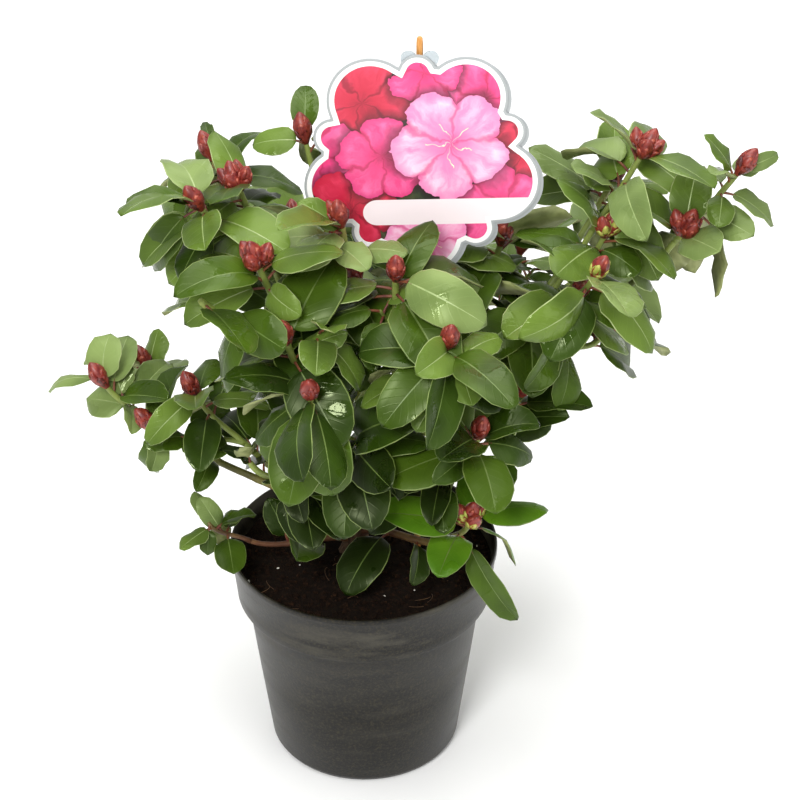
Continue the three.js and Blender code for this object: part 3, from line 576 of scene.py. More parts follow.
# The finer growth: older leaves further down each twig, a new one at the tip of a twig without a bud,
# and thin spurs with a small whorl of their own. The masses within the crown have twice as many.
finer = {
    "seed": 5000,
    "older": {"spread": (86, 104), "size": 0.92},
    "lower": {"places": (0.3, 0.7), "spread": (62, 105), "size": 0.86},
    "young": {"turn": 60, "below": 1, "spread": (28, 44), "size": 0.5},
    "full": ("centre", "crown_inner", "rear_left", "rear_centre", "rear_right", "label_right", "skirt_left",
             "skirt_right", "skirt_centre", "centre_left", "front_left", "front_right"),
    "bare": ("left_low", "left_mid", "left_sprig", "right_tip", "low_front", "tall_left"),
    "spur": {"seed": 5031, "count": 2, "length": (20, 32), "lean": 0.9, "rise": 0.5, "radius": (1.5, 1.1),
             "leaves": 5, "size": 0.62, "places": (0.3, 0.72), "spread": (40, 14), "nodes": (1, 2)},
}
for index, entry in enumerate(plan):
    mass, older, lower, young = entry["mass"], finer["older"], finer["lower"], finer["young"]
    chance = seeded(finer["seed"] + chanceSeed["step"] * index)
    limbsNear = limbsBeside(entry)
    more = 2 if mass["name"] in finer["full"] else 0 if mass["name"] in finer["bare"] else 1
    for number, shoot in enumerate(entry["shoots"]):
        size = (number and mass.get("sideSize")) or mass["size"]
        length = lengthOf(shoot)
        for i in range(more):
            node = mass.get("leaves", leafRule["count"]) + i
            t = 1 - (leafRule["firstNode"] + leafRule["nodeStep"] * node) / length
            spread = between(older["spread"], chance())
            azimuth = shoot["turn"] + leafRule["goldenAngle"] * node
            tryLeaf(entry, shoot, t, azimuth, spread, size * older["size"], chance, limbsNear, "older")
        for i in range(more):
            t, spread = between(lower["places"], chance()), between(lower["spread"], chance())
            tryLeaf(entry, shoot, t, 360 * chance(), spread, size * lower["size"], chance, limbsNear, "older")
        if mass.get("buds") == 0:
            t, azimuth = 1 - young["below"] / length, shoot["turn"] + young["turn"]
            spread = between(young["spread"], chance())
            tryLeaf(entry, shoot, t, azimuth, spread, size * young["size"], chance, limbsNear, "young")
print("growth: with the finer leaves,", len(grown))
spurs = []
for index, entry in enumerate(plan):
    if entry["mass"]["name"] not in finer["full"]:
        continue
    rule, leader = finer["spur"], entry["shoots"][0]
    size = entry["mass"]["size"] * rule["size"]
    chance = seeded(rule["seed"] + chanceSeed["step"] * index)
    limbsNear = limbsBeside(entry)
    for i in range(rule["count"]):
        t = between(rule["places"], chance())
        away = leaning(360 * chance(), 90)
        leaving = unit(directionOn(leader, t) + away * rule["lean"])
        reach = between(rule["length"], chance())
        start, axis = pointOn(leader, t), unit(leaving + up * rule["rise"])
        spur = limb(start, leaving, start + unit(leaving + axis) * reach, axis, *rule["radius"])
        spur.update(axis=axis, turn=360 * chance())
        if blocked(np.array([pointOn(spur, k / 4) for k in (1, 2, 3, 4)])):
            continue
        before = len(grown)
        for k in range(rule["leaves"]):
            place = 1 - (rule["nodes"][0] + rule["nodes"][1] * k) / reach
            azimuth = spur["turn"] + leafRule["goldenAngle"] * k
            spread = rule["spread"][0] + rule["spread"][1] * k
            tryLeaf(entry, spur, place, azimuth, spread, size, chance, limbsNear, "young")
        if len(grown) > before:
            spurs.append(spur)
print("growth: with", len(spurs), "spurs,", len(grown), "leaves")

# Numbers of the leaves left out of each mass, so that the crown stands open round its edge.
leftOut = {
    "centre": [0, 5, 8, 13, 20], "centre_left": [0, 2, 4, 7, 9], "crown_inner": [1, 2, 4, 9, 19],
    "front_left": [0, 2, 3, 6, 7, 8, 11, 12, 21], "front_right": [0, 1, 6, 8, 10, 15],
    "label_right": [3, 17], "left_low": [0, 1, 3, 5, 7, 9], "left_mid": [2, 7, 8, 10],
    "left_sprig": [3, 4, 6], "low_front": [2, 4, 5], "low_right": [1, 6], "rear_centre": [7, 29, 31],
    "rear_right": [1, 3, 11, 13, 20, 28, 30], "right_back": [6, 7], "right_inner": [5, 8, 10, 11, 13],
    "right_low": [4], "right_mid": [7, 8, 12, 14], "right_tip": [0, 3, 6, 8, 9, 10, 11],
    "right_top": [2, 3, 5, 6], "skirt_centre": [8, 13],
    "skirt_left": [0, 3, 5, 6, 7, 8, 9, 11, 14, 16, 18, 20, 25], "skirt_right": [1, 5], "tall_left": [0, 1],
    "upper_left": [1, 3, 6, 12, 17], "upper_left_front": [0, 3, 5, 6, 7, 8, 9, 11, 12],
}
numbers, kept = {}, []
for other in grown:
    name = other["mass"]["name"]
    numbers[name] = numbers.get(name, -1) + 1
    if numbers[name] not in leftOut.get(name, []):
        kept.append(other)
grown[:] = kept

# Leaves set one by one: mass, shoot (-1 is the bough itself) and place along it, then heading,
# spread, length, width (1 is the usual share), roll and droop.
placed = [
    ("upper_left", 0, 0.57, 225, 70, 62, 0.92, 40, 65),
    ("upper_left_front", 0, 0.79, 235, 25, 62, 0.7, 30, 75),
    ("rear_left", 1, 0.9, 120, 40, 62, 1.09, 10, 25),
    ("tall_left", 0, 0.98, 185, 60, 32, 1.03, 40, 45),
    ("upper_left", 1, 0.8, 20, 40, 45, 0.7, 0, 75),
    ("upper_left", 2, 0.94, 90, 55, 53, 0.94, -20, 75),
    ("centre_left", 0, 0.89, 185, 20, 33, 0.79, 50, 55),
    ("centre_left", 0, 0.96, 240, 40, 62, 0.75, 10, 15),
    ("rear_centre", 0, 0.7, 350, 60, 34, 0.73, -30, 65),
    ("centre", 0, 0.83, 65, 40, 47, 0.88, 0, 45),
    ("crown_inner", 1, 0.37, 175, 120, 47, 1.21, 20, 25),
    ("rear_centre", 1, 0.72, 180, 10, 32, 1.21, 0, 65),
    ("front_left", 1, 0.72, 290, 65, 59, 0.92, 30, 25),
    ("front_left", 1, 0.73, 250, 50, 62, 0.88, -50, 45),
    ("front_left", 0, 0.72, 0, 105, 47, 1.14, -60, 65),
    ("left_mid", -1, 0.95, 85, 25, 50, 0.98, -20, 75),
    ("front_left", 1, 0.37, 165, 30, 57, 0.74, 0, 55),
    ("front_right", 0, 0.86, 305, 45, 62, 0.74, -10, 45),
    ("front_right", 0, 0.85, 170, 75, 48, 1.24, 10, 35),
    ("front_right", 0, 0.91, 265, 80, 62, 0.79, 40, 25),
    ("skirt_centre", 0, 0.89, 330, 25, 62, 1.06, -60, 65),
    ("skirt_centre", 0, 0.81, 295, 55, 50, 0.94, -40, 25),
    ("front_right", 0, 0.91, 255, 35, 41, 0.99, 50, 65),
    ("centre", 1, 0.59, 295, 85, 31, 0.9, 0, 15),
    ("centre", 0, 0.97, 315, 60, 62, 0.84, -40, 75),
    ("low_right", 0, 0.88, 25, 40, 39, 1.1, 0, 55),
    ("right_low", 0, 0.37, 45, 115, 39, 1.17, 0, 55),
    ("low_right", 0, 0.77, 235, 60, 38, 0.77, 40, 35),
    ("upper_left_front", 0, 0.7, 295, 65, 32, 0.98, -50, 65),
    ("upper_left_front", 1, 0.36, 325, 55, 27, 0.91, 40, 55),
    ("right_top", 0, 0.61, 255, 75, 62, 0.71, -50, 55),
    ("right_tip", 0, 0.51, 85, 125, 59, 0.84, 30, 75),
    ("right_tip", 1, 0.52, 75, 120, 48, 0.91, -20, 55),
    ("right_mid", 1, 0.78, 245, 70, 62, 0.76, 60, 75),
    ("right_top", 0, 0.51, 115, 65, 52, 0.99, 50, 45),
    ("right_tip", 0, 0.49, 145, 80, 62, 0.8, 10, 15),
    ("right_inner", 1, 0.76, 40, 90, 50, 1.15, -40, 15),
    ("label_right", 0, 0.9, 15, 30, 48, 1.25, 60, 35),
    ("right_top", 0, 0.9, 180, 50, 41, 1.07, -10, 35),
    ("right_tip", 0, 0.5, 305, 60, 34, 1.07, -50, 15),
    ("right_tip", 0, 0.46, 350, 110, 51, 0.8, 30, 55),
    ("right_tip", 0, 0.76, 345, 65, 36, 0.95, -10, 35),
    ("right_tip", 0, 1, 15, 25, 27, 0.64, -60, 50),
    ("right_tip", 0, 0.93, 180, 55, 31, 0.94, 20, 25),
    ("rear_right", 2, 0.44, 245, 20, 46, 0.94, 60, 45),
    ("low_front", 0, 0.51, 245, 55, 44, 1.03, 0, 35),
    ("low_front", 0, 0.54, 305, 110, 62, 0.52, -55, 40),
    ("low_front", 0, 0.85, 5, 85, 40, 0.5, 40, 75),
    ("low_front", -1, 0.63, 275, 90, 33, 0.88, 40, 35),
    ("low_front", -1, 0.37, 235, 85, 51, 1, 0, 45),
    ("left_sprig", 0, 0.57, 70, 5, 26, 0.92, 60, 45),
    ("left_sprig", 0, 0.94, 255, 120, 19, 0.98, 20, 45),
    ("left_sprig", 0, 0.82, 110, 125, 26, 1.2, 60, 65),
    ("left_sprig", 0, 0.44, 285, 80, 32, 1.07, 10, 25),
    ("left_sprig", -1, 0.61, 290, 45, 47, 1.23, 40, 45),
    ("left_sprig", -1, 0.63, 170, 15, 31, 0.94, 50, 25),
    ("left_low", 0, 0.97, 15, 25, 34, 1.22, -20, 75),
    ("left_low", 1, 0.95, 15, 30, 28, 1.28, 0, 15),
    ("left_low", 0, 1, 160, 40, 43, 0.48, 5, 70),
    ("left_low", 0, 0.47, 150, 50, 33, 1.24, 30, 25),
    ("left_low", 0, 0.47, 45, 75, 47, 0.74, -40, 45),
    ("left_mid", 0, 0.94, 245, 65, 44, 0.75, 40, 75),
    ("left_low", -1, 0.81, 65, 45, 39, 1.24, -30, 45),
    ("left_mid", 1, 0.89, 240, 115, 23, 1.22, 60, 35),
    ("left_low", -1, 0.75, 270, 70, 31, 0.88, 30, 65),
    ("skirt_left", 1, 0.9, 160, 5, 24, 0.98, 0, 65),
    ("right_inner", 0, 0.5, 260, 90, 48, 0.78, 50, 45),
    ("right_inner", 1, 0.37, 285, 100, 44, 0.93, 30, 45),
    ("right_tip", 1, 0.91, 125, 20, 42, 1.03, 20, 55),
    ("upper_left_front", 1, 0.63, 320, 80, 49, 0.97, -30, 15),
    ("low_right", 0, 0.87, 10, 80, 41, 0.93, -20, 55),
    ("upper_left", 2, 0.99, 240, 15, 60, 0.91, -15, 55),
    ("upper_left", 2, 1, 200, 95, 56, 0.66, 40, 65),
    ("upper_left", 1, 1, 55, 25, 29, 0.5, -15, 55),
    ("left_mid", 1, 0.89, 190, 120, 43, 0.6, 60, 70),
    ("left_low", 0, 0.53, 300, 80, 27, 0.91, 40, 65),
    ("right_low", 0, 0.64, 335, 40, 40, 0.87, -30, 15),
    ("left_mid", -1, 0.98, 130, 50, 42, 0.93, 20, 65),
    ("upper_left", 0, 0.82, 80, 30, 48, 0.88, -40, 35),
    ("right_back", 0, 0.85, 170, 105, 45, 0.97, 40, 25),
    ("upper_left_front", 0, 0.72, 205, 65, 50, 0.9, 20, 35),
    ("left_mid", 0, 0.64, 45, 55, 38, 0.9, -30, 15),
    ("upper_left", 2, 0.98, 195, 25, 43, 0.83, 0, 35),
    ("centre", 1, 0.88, 285, 80, 51, 1.09, -20, 55),
    ("left_low", 0, 0.57, 75, 35, 37, 1.14, -10, 15),
    ("right_top", 0, 0.33, 320, 105, 51, 0.88, -40, 25),
    ("upper_left_front", 1, 0.92, 315, 80, 51, 1.07, 40, 15),
    ("right_mid", 0, 0.81, 285, 50, 35, 1.09, -40, 65),
    ("left_mid", 1, 0.49, 250, 25, 35, 0.87, 30, 45),
    ("front_right", 0, 0.35, 190, 60, 48, 0.88, -10, 55),
    ("right_low", 0, 0.43, 20, 50, 38, 1.14, -40, 35),
    ("front_left", 0, 0.75, 5, 45, 36, 0.89, -30, 45),
    ("tall_left", 0, 0.94, 85, 100, 34, 0.81, -30, 45),
    ("right_tip", 1, 0.41, 280, 50, 44, 1.01, -40, 15),
    ("right_top", 0, 0.43, 200, 55, 39, 1.05, 0, 35),
    ("upper_left", 1, 0.71, 80, 30, 43, 1.03, 0, 45),
    ("tall_left", 0, 1, 70, 30, 35, 0.88, -5, 25),
]
for name, number, t, azimuth, spread, size, wide, roll, droop in placed:
    entry = next(entry for entry in plan if entry["mass"]["name"] == name)
    shoot, rule = entry["shoots"][number] if number >= 0 else limbs[name], leafRule
    draws = [0.5, 0.5, 0.5 + roll / rule["roll"], (1 - rule["scale"][0]) / rule["scale"][1],
             (wide - rule["narrowness"][0]) / rule["narrowness"][1],
             (droop - rule["droop"][0]) / rule["droop"][1]]
    leaf = growLeaf(pointOn(shoot, t), shoot.get("axis", up), azimuth, spread, size, draws)
    keepLeaf(entry, leaf, "placed")
print("growth:", len(placed), "leaves placed,", len(grown), "in all")


# How a limb's skin swells at its foot and joints and wrinkles between them, in mm and waves per mm.
skin = {"firstNormal": (0.31, 0.95, 0.02), "collarFade": 14, "jointSwell": 0.16, "jointWidth": 1.6,
        "coarse": (0.16, 0.16, 0.07), "fine": 0.45, "fineShare": 0.5, "cap": 0.4}


# A limb as a closed tube. The surface map runs round it (0 to 1) and along it in tenths of a metre.
def tube(shoot, sides, rings, relief, collar=0.0, overlap=0.0, joints=()):
    normal, length = np.array(skin["firstNormal"]), lengthOf(shoot)
    points, uvs, faces = [], [], []
    for ring in range(rings + 1):
        t = ring / rings
        direction = directionOn(shoot, t)
        normal = unit(normal - direction * (normal @ direction))
        side = np.cross(direction, normal)
        centre, radius = pointOn(shoot, t) - direction * (overlap if ring == 0 else 0), radiusOn(shoot, t)
        swelling = 1 + collar * math.exp(-skin["collarFade"] * t)
        for joint in joints:
            away = (t - joint) * length / skin["jointWidth"]
            swelling += skin["jointSwell"] * math.exp(-(away**2))
        for k in range(sides):
            angle = 2 * math.pi * k / sides
            outward = (normal * math.cos(angle) + side * math.sin(angle)) * radius
            place = centre + outward
            rough = noise.noise(Vector(place * skin["coarse"]))
            rough += skin["fineShare"] * noise.noise(Vector(place * skin["fine"]))
            points.append(centre + outward * (swelling + relief * rough))
            uvs.append((k / sides, t * length / 100))
    for ring in range(rings):
        for k in range(sides):
            a, b = ring * sides + k, ring * sides + (k + 1) % sides
            faces.append((a, b, b + sides, a + sides))
    for ring, reach in ((0, -overlap - skin["cap"]), (rings, skin["cap"])):
        points.append(pointOn(shoot, ring / rings) + directionOn(shoot, ring / rings) * reach)
        uvs.append((0.5, ring / rings * length / 100))
        for k in range(sides):
            a, b = ring * sides + k, ring * sides + (k + 1) % sides
            faces.append((len(points) - 1, b, a) if ring == 0 else (len(points) - 1, a, b))
    return points, faces, [0] * len(faces), uvs


# Thin smooth bark, split lengthwise: brown, dull, with darker cracks and paler rubbed ridges.
def stemBark():
    material, tree, shader, onObject = startMaterial("splitGreyBrownBark", 0.85)
    stretch = (perMetre(3.85), perMetre(3.85), perMetre(14.3))
    grain = addNode(tree, "Mapping", {"Scale": stretch}, onObject)
    cracks = addNode(tree, "TexNoise", {"Scale": 1.0, "Detail": 6.0, "Roughness": 0.65}, {"Vector": grain})
    tone = addNode(tree, "ValToRGB", links={"Fac": cracks},
                   stops=[(0.3, "#2c1d13"), (0.5, "#5d4430"), (0.72, "#8a6f55")])
    wire(tree, shader, tone, height=cracks, depth=1.2, strength=0.8)
    return material


# Young wood: brown and dull where it is old and low, yellow-green and smoother above, with lenticels.
def youngWood():
    material, tree, shader, onObject = startMaterial("youngGreenWood", 0.55)
    place = addNode(tree, "SeparateXYZ", links=onObject)
    patches = addNode(tree, "TexNoise", {"Scale": perMetre(22.2), "Detail": 4.0}, onObject)
    height = addNode(tree, "Math", {1: 0.05}, {0: patches, 2: (place, "Z")}, operation="MULTIPLY_ADD")
    age = addNode(tree, "MapRange", {"From Min": 0.205, "From Max": 0.268}, {"Value": height})
    old = addNode(tree, "ValToRGB", links={"Fac": patches}, stops=[(0.35, "#4a2d1d"), (0.65, "#7d5138")])
    fresh = addNode(tree, "ValToRGB", links={"Fac": patches},
                    stops=[(0.35, "#5d6b28"), (0.6, "#7f8d40"), (0.75, "#8a7a42")])
    tone = addNode(tree, "Mix", links={0: age, 6: old, 7: fresh}, data_type="RGBA")
    pores = addNode(tree, "TexVoronoi", {"Scale": perMetre(2.38)}, onObject)
    wire(tree, shader, (tone, 2), height=pores, depth=0.4, strength=0.4)
    return material


# The wood. It is drawn a little thinner than the solids', the low sprigs' most. A bough has the scars
# of old whorls, a twig the joints of its own.
wood = {
    "share": 0.86,
    "thin": {"left_sprig": 0.55, "left_low": 0.74, "left_mid": 0.72, "right_tip": 0.72, "right_mid": 0.74,
             "right_top": 0.7, "upper_left": 0.78, "tall_left": 0.7, "right_inner": 0.74, "low_front": 0.74},
    "ringStep": 3,
    "stem": {"sides": 24, "rings": 40, "relief": 0.1},
    "bough": {"sides": 12, "leastRings": 12, "relief": 0.07, "collar": 0.45, "scars": (24, 31), "bare": 6},
    "twig": {"sides": 8, "leastRings": 8, "relief": 0.06, "collar": 0.25, "joints": 6, "overlap": 2.5},
    "spur": {"sides": 6, "rings": 8, "relief": 0.05, "collar": 0.3},
}
seat(meshPiece("mainStem", [tube(mainStem, **wood["stem"])], [stemBark()]), ["main_stem"])
boughParts, twigParts = [], []
for entry in plan:
    share = wood["thin"].get(entry["mass"]["name"], wood["share"])
    for shoot in [limbs[entry["mass"]["name"]]] + entry["shoots"]:
        shoot["share"] = share
rule = wood["bough"]
for name, shoot in limbs.items():
    if name != "main_stem":
        length = lengthOf(shoot)
        rings = max(rule["leastRings"], int(length / wood["ringStep"]))
        first, step = rule["scars"]
        scars = [place / length for place in range(first, int(length) - rule["bare"], step)]
        boughParts.append(tube(shoot, rule["sides"], rings, rule["relief"], rule["collar"], joints=scars))
rule = wood["twig"]
for entry in plan:
    for number, shoot in enumerate(entry["shoots"]):
        length = lengthOf(shoot)
        rings = max(rule["leastRings"], int(length / wood["ringStep"]))
        nodes = [leafRule["firstNode"] + leafRule["nodeStep"] * i for i in range(rule["joints"])]
        overlap = rule["overlap"] if number == 0 else 0
        twigParts.append(tube(shoot, rule["sides"], rings, rule["relief"], rule["collar"], overlap,
                              [1 - node / length for node in nodes]))
twigParts += [tube(spur, **wood["spur"]) for spur in spurs]
greenWood = youngWood()
foliageNodes = ["foliage_" + mass["name"] for mass in masses]
boughNodes = ["bough_" + name for name in limbs if name != "main_stem"]
seat(meshPiece("boughs", boughParts, [greenWood]), boughNodes)
seat(meshPiece("twigs", twigParts, [greenWood]), foliageNodes)
print("wood:", len(boughParts), "boughs and", len(twigParts), "twigs")

# Leaves. Every blade is one closed shape: two pale rims, two halves, a pale rib and the underside.
# A row is how far along the blade it is and its share of the full width.
blade = {
    "rows": [(0.015, 0.25), (0.07, 0.57), (0.18, 0.87), (0.33, 0.99), (0.5, 1), (0.67, 0.91), (0.82, 0.71),
             (0.94, 0.36)],
    "rib": (0.04, 0.01),
    "crest": 0.52,
    "rim": 0.957,
    "crown": 0.11,
    "strips": ["rim", "top", "top", "rib", "top", "top", "rim"],
    "thickness": 0.7,
    "taper": 8,
    "fullness": 1.1,
    "fold": (-20, 26),
    "twist": (-16, 16),
    "twistPivot": 0.3,
    "wave": 1.3,
    "waves": (1, 2.5),
    "stalk": {"radii": (1.1, 0.75), "sides": 5, "rings": 4, "relief": 0.03, "enters": (0.06, -0.5)},
}


def bladeMesh(leaf, look):
    fold, half = radians(look["fold"]), 0.5 * leaf["width"] * blade["fullness"]
    edge, crest, strips = blade["rim"], blade["crest"], blade["strips"]
    points, uvs, faces = [], [], []
    for t, share in blade["rows"]:
        rib = between(blade["rib"], t)
        middle = bladePoint(leaf, t, 0, 0)
        turn, twist = leaf["droop"] * t, radians(look["twist"]) * (t - blade["twistPivot"])
        lift = leaf["normal"] * math.cos(turn) + leaf["direction"] * math.sin(turn)
        side = leaf["side"] * math.cos(twist) + lift * math.sin(twist)
        lift = lift * math.cos(twist) - leaf["side"] * math.sin(twist)
        width = half * share
        wave = blade["wave"] * math.sin(2 * math.pi * (look["waves"] * t + look["phase"]))
        rise = math.sin(fold) * width + wave
        for column in (-1, -edge, -crest, -rib, rib, crest, edge, 1):
            bulge = blade["crown"] * width * math.sin(math.pi * abs(column))
            out, high = column * width * math.cos(fold), rise * abs(column) + bulge
            points.append(middle + side * out + lift * high)
            uvs.append((0.5 + 0.5 * column, t))
        thin = min(1, blade["taper"] * t, blade["taper"] * (1 - t))
        points.append(middle - lift * blade["thickness"] * thin)
        uvs.append((0.5, t))
    foot, tip = len(points), len(points) + 1
    points += [bladePoint(leaf, 0, 0, -0.1), bladePoint(leaf, 1, 0, 0)]
    uvs += [(0.5, 0), (0.5, 1)]
    below = len(strips) + 1
    last = foot - below - 1
    for a in range(0, last, below + 1):
        b = a + below + 1
        faces += [(a + c, a + c + 1, b + c + 1, b + c) for c in range(below - 1)]
        faces += [(a, b, b + below, a + below), (a + below, b + below, b + below - 1, a + below - 1)]
    faces += [(foot, c + 1, c) for c in range(below - 1)] + [(foot, 0, below), (foot, below, below - 1)]
    faces += [(last + c, last + c + 1, tip) for c in range(below - 1)]
    faces += [(tip, last + below, last), (tip, last + below - 1, last + below)]
    return points, faces, (strips + ["under", "under"]) * (len(blade["rows"]) + 1), uvs


# Leathery evergreen leaf with a waxed skin: satin gloss, faint side veins, a tone that drifts slowly
# over the green, and wet pools whose ripples break the light into small sparks. The ripples are
# drawn 4 mm wide, coarser than real drops, to show.
def waxedLeaf(name, colour, lighter, roughness):
    film = {"Specular IOR Level": 0.36, "Specular Tint": toLinear("#dceab8")}
    material, tree, shader, onObject = startMaterial(name, roughness, colour, **film)
    surface = addNode(tree, "TexCoord")
    place = addNode(tree, "SeparateXYZ", links={"Vector": (surface, "UV")})
    aside = addNode(tree, "Math", {1: 0.5}, {0: (place, "X")}, operation="SUBTRACT")
    off = addNode(tree, "Math", links={0: aside}, operation="ABSOLUTE")
    slant = addNode(tree, "Math", {1: -4.5}, {0: off}, operation="MULTIPLY")
    along = addNode(tree, "Math", {1: 8.0}, {0: (place, "Y"), 2: slant}, operation="MULTIPLY_ADD")
    vein = addNode(tree, "Math", {1: 0.5}, {0: along}, operation="PINGPONG")
    narrow = addNode(tree, "MapRange", {"From Max": 0.09, "To Min": 0.1, "To Max": 0.0}, {"Value": vein})
    drift = addNode(tree, "TexNoise", {"Scale": perMetre(45.5), "Detail": 2.0}, onObject)
    tint = addNode(tree, "MapRange", {"From Min": 0.32, "From Max": 0.68},
                   {"Value": drift}, interpolation_type="SMOOTHSTEP")
    mixing = addNode(tree, "Math", {1: 0.85}, {0: tint, 2: narrow}, operation="MULTIPLY_ADD")
    tone = addNode(tree, "Mix", {6: toLinear(colour), 7: toLinear(lighter)}, {0: mixing}, data_type="RGBA")
    pools = addNode(tree, "TexNoise", {"Scale": perMetre(20.8), "Detail": 1.0}, onObject)
    wet = addNode(tree, "MapRange", {"From Min": 0.57, "From Max": 0.62}, {"Value": pools})
    gloss = addNode(tree, "MapRange", {"To Min": roughness, "To Max": 0.12}, {"Value": wet})
    ripple = addNode(tree, "TexNoise", {"Scale": perMetre(4.35), "Detail": 2.0}, onObject)
    drops = addNode(tree, "Math", links={0: wet, 1: ripple}, operation="MULTIPLY")
    height = addNode(tree, "Math", {1: -2.0}, {0: narrow, 2: drops}, operation="MULTIPLY_ADD")
    wire(tree, shader, (tone, 2), gloss, height, depth=0.5, strength=0.6)
    return material


# Dull paler skin, as on a leaf's underside, rib, rim or stalk: matt, with a fine uneven tone.
def dullSkin(name, colour, other, roughness=0.6, grain=6.67):
    material, tree, shader, onObject = startMaterial(name, roughness, colour)
    mottle = addNode(tree, "TexNoise", {"Scale": perMetre(grain), "Detail": 4.0}, onObject)
    tone = addNode(tree, "ValToRGB", links={"Fac": mottle}, stops=[(0.35, colour), (0.65, other)])
    wire(tree, shader, tone, height=mottle, depth=0.2, strength=0.3)
    return material


# Leaf tops run from dark to light green. This is partly the leaves' own older and younger tones and partly
# painted light and shade, since a leaf's place in the crown picks its tone. Ribs and rims come in a dark and
# a pale copy to match.
leafLooks = {
    "tops": [("#101a05", "#1e2f08"), ("#1c2c08", "#2f450c"), ("#2b3e0c", "#435b15"), ("#445820", "#627a2f"),
             ("#5b6d3a", "#7c8f52"), ("#3f6610", "#628c1e")],
    "roughness": 0.36,
    "under": ("#7f8750", "#9aa068"),
    "rib": [("#4f6528", "#66793a"), ("#7a8e52", "#95a56b")],
    "rim": [("#5d7134", "#798946"), ("#819254", "#9ba96f")],
    "pale": (3, 4),
    "seed": 77,
    "lit": {"height": 255, "inner": 85, "reach": 120},
    "shade": {"least": 0.1, "lit": 3.3, "play": 2.4, "young": 0.4, "most": 4, "fresh": 5},
    "fresh": {"low_front": (1, 205), "left_sprig": (0.12, 180)},
    # Painted light and shade for whole masses: a lift for those that stand out in the light, a drop for the
    # skirts under the crown.
    "lighter": {"left_sprig": 1.6, "low_front": 0.7, "left_low": 1.2, "left_mid": 1, "centre_left": 0.8,
                "centre": 0.5, "crown_inner": 0.8, "right_mid": 0.2, "right_top": 0.6, "right_inner": 0.2,
                "right_tip": 0.7, "low_right": 0.4, "skirt_left": -0.5, "skirt_centre": -0.6,
                "skirt_right": -0.5},
}
leafMaterials = [waxedLeaf("waxedLeaf" + str(i), dark, light, leafLooks["roughness"])
                 for i, (dark, light) in enumerate(leafLooks["tops"])]
kindShades = {"under": [len(leafMaterials)] * 2}
leafMaterials.append(dullSkin("paleLeafUnderside", *leafLooks["under"]))
# Each rib and rim has a dark and a pale copy, to follow the painted light and shade of the top it runs along.
for kind in ("rib", "rim"):
    kindShades[kind] = [len(leafMaterials), len(leafMaterials) + 1]
    for name, colours in zip(("darkLeaf", "paleLeaf"), leafLooks[kind]):
        leafMaterials.append(dullSkin(name + kind.capitalize(), *colours, 0.45))


# A leaf's top is given a lighter tone the higher or the further out in the crown it is, by chance, and when
# young. The part from its place is painted light and shade: lighter where more light falls, darker within the
# crown.
def shadeOf(other, chance):
    rule, lit, name = leafLooks["shade"], leafLooks["lit"], other["mass"]["name"]
    x, y, z = other["middle"] - crown["heart"]
    # Painted light: how open the leaf stands to the light, from its height and its reach out of the crown.
    exposed = max(z / lit["height"], (math.hypot(x, y) - lit["inner"]) / lit["reach"])
    shade = rule["least"] + rule["lit"] * exposed + rule["play"] * (chance() - 0.5)
    # Painted light and shade for whole masses, from leafLooks["lighter"]. Youth adds the young leaves' own
    # paler tone.
    shade += (rule["young"] if other["age"] == "young" else 0) + leafLooks["lighter"].get(name, 0)
    share, least = leafLooks["fresh"].get(name, (0, 0))
    if chance() < share and other["middle"][2] > least:
        return rule["fresh"]
    return int(min(max(shade, 0), rule["most"]))


chance, rule = seeded(leafLooks["seed"]), blade["stalk"]
leafParts, stalkParts = [], []
for other in grown:
    leaf = other["leaf"]
    look = {"fold": between(blade["fold"], chance()), "twist": between(blade["twist"], chance()),
            "waves": between(blade["waves"], chance()), "phase": chance()}
    shade = shadeOf(other, chance)
    points, faces, kinds, uvs = bladeMesh(leaf, look)
    # Pale tops take the pale rib and rim, so the painted light carries over to them.
    tone = int(shade in leafLooks["pale"])
    shades = [kindShades[kind][tone] if kind in kindShades else shade for kind in kinds]
    leafParts.append((points, faces, shades, uvs))
    t, lift = rule["enters"]
    stalk = limb(leaf["root"], unit(leaf["foot"] - leaf["root"]), bladePoint(leaf, t, 0, lift),
                 leaf["direction"], *rule["radii"])
    stalkParts.append(tube(stalk, rule["sides"], rule["rings"], rule["relief"]))
seat(meshPiece("leaves", leafParts, leafMaterials), foliageNodes)
# Leaf stalks: dull red where the light has reddened them, browner between.
stalkSkin = dullSkin("reddenedLeafStalk", "#5c2a22", "#7d4a2c", 0.5)
seat(meshPiece("leafStalks", stalkParts, [stalkSkin]))
print("leaves:", len(leafParts), "with", sum(len(part[1]) for part in leafParts), "faces")

# Flower buds: a pointed egg on a short neck, wrapped in broad overlapping scales.
bud = {
    "length": 21,
    "radius": 6.5,
    "sunk": 2,
    "profile": [(0, 0.3), (0.12, 0.5), (0.3, 0.87), (0.5, 0.98), (0.7, 0.83), (0.86, 0.52), (0.95, 0.25)],
    "sides": 10,
    "scales": {"count": 9, "first": 0.02, "step": 0.058, "length": 0.46, "spread": 0.66, "sunk": 0.8,
               "rows": [(0, 0.7, -0.25), (0.4, 0.95, 0.4), (0.78, 0.66, 0.42)], "edge": 0.05, "tip": 0.3,
               "brown": 3, "green": 7, "last": 0.99},
    "around": {"turn": 30, "step": 70, "lean": 0.6, "scale": 0.88, "below": 3, "out": 3.2},
    "clusters": {("upper_left", 0): 5, ("right_top", 0): 5, ("upper_left_front", 0): 4, ("low_front", 0): 4,
                 ("right_mid", 0): 3, ("right_tip", 1): 4, ("centre_left", 0): 2,
                 ("upper_left_front", 1): 0},
    "opening": ("low_front", "right_mid"),
}
brownScale, redScale, paleTip, greenBract = range(4)


# The egg's radius at a share of its length, as a share of its widest.
def budRadius(t):
    places, radii = zip(*bud["profile"], (1, 0))
    return float(np.interp(t, places, radii))


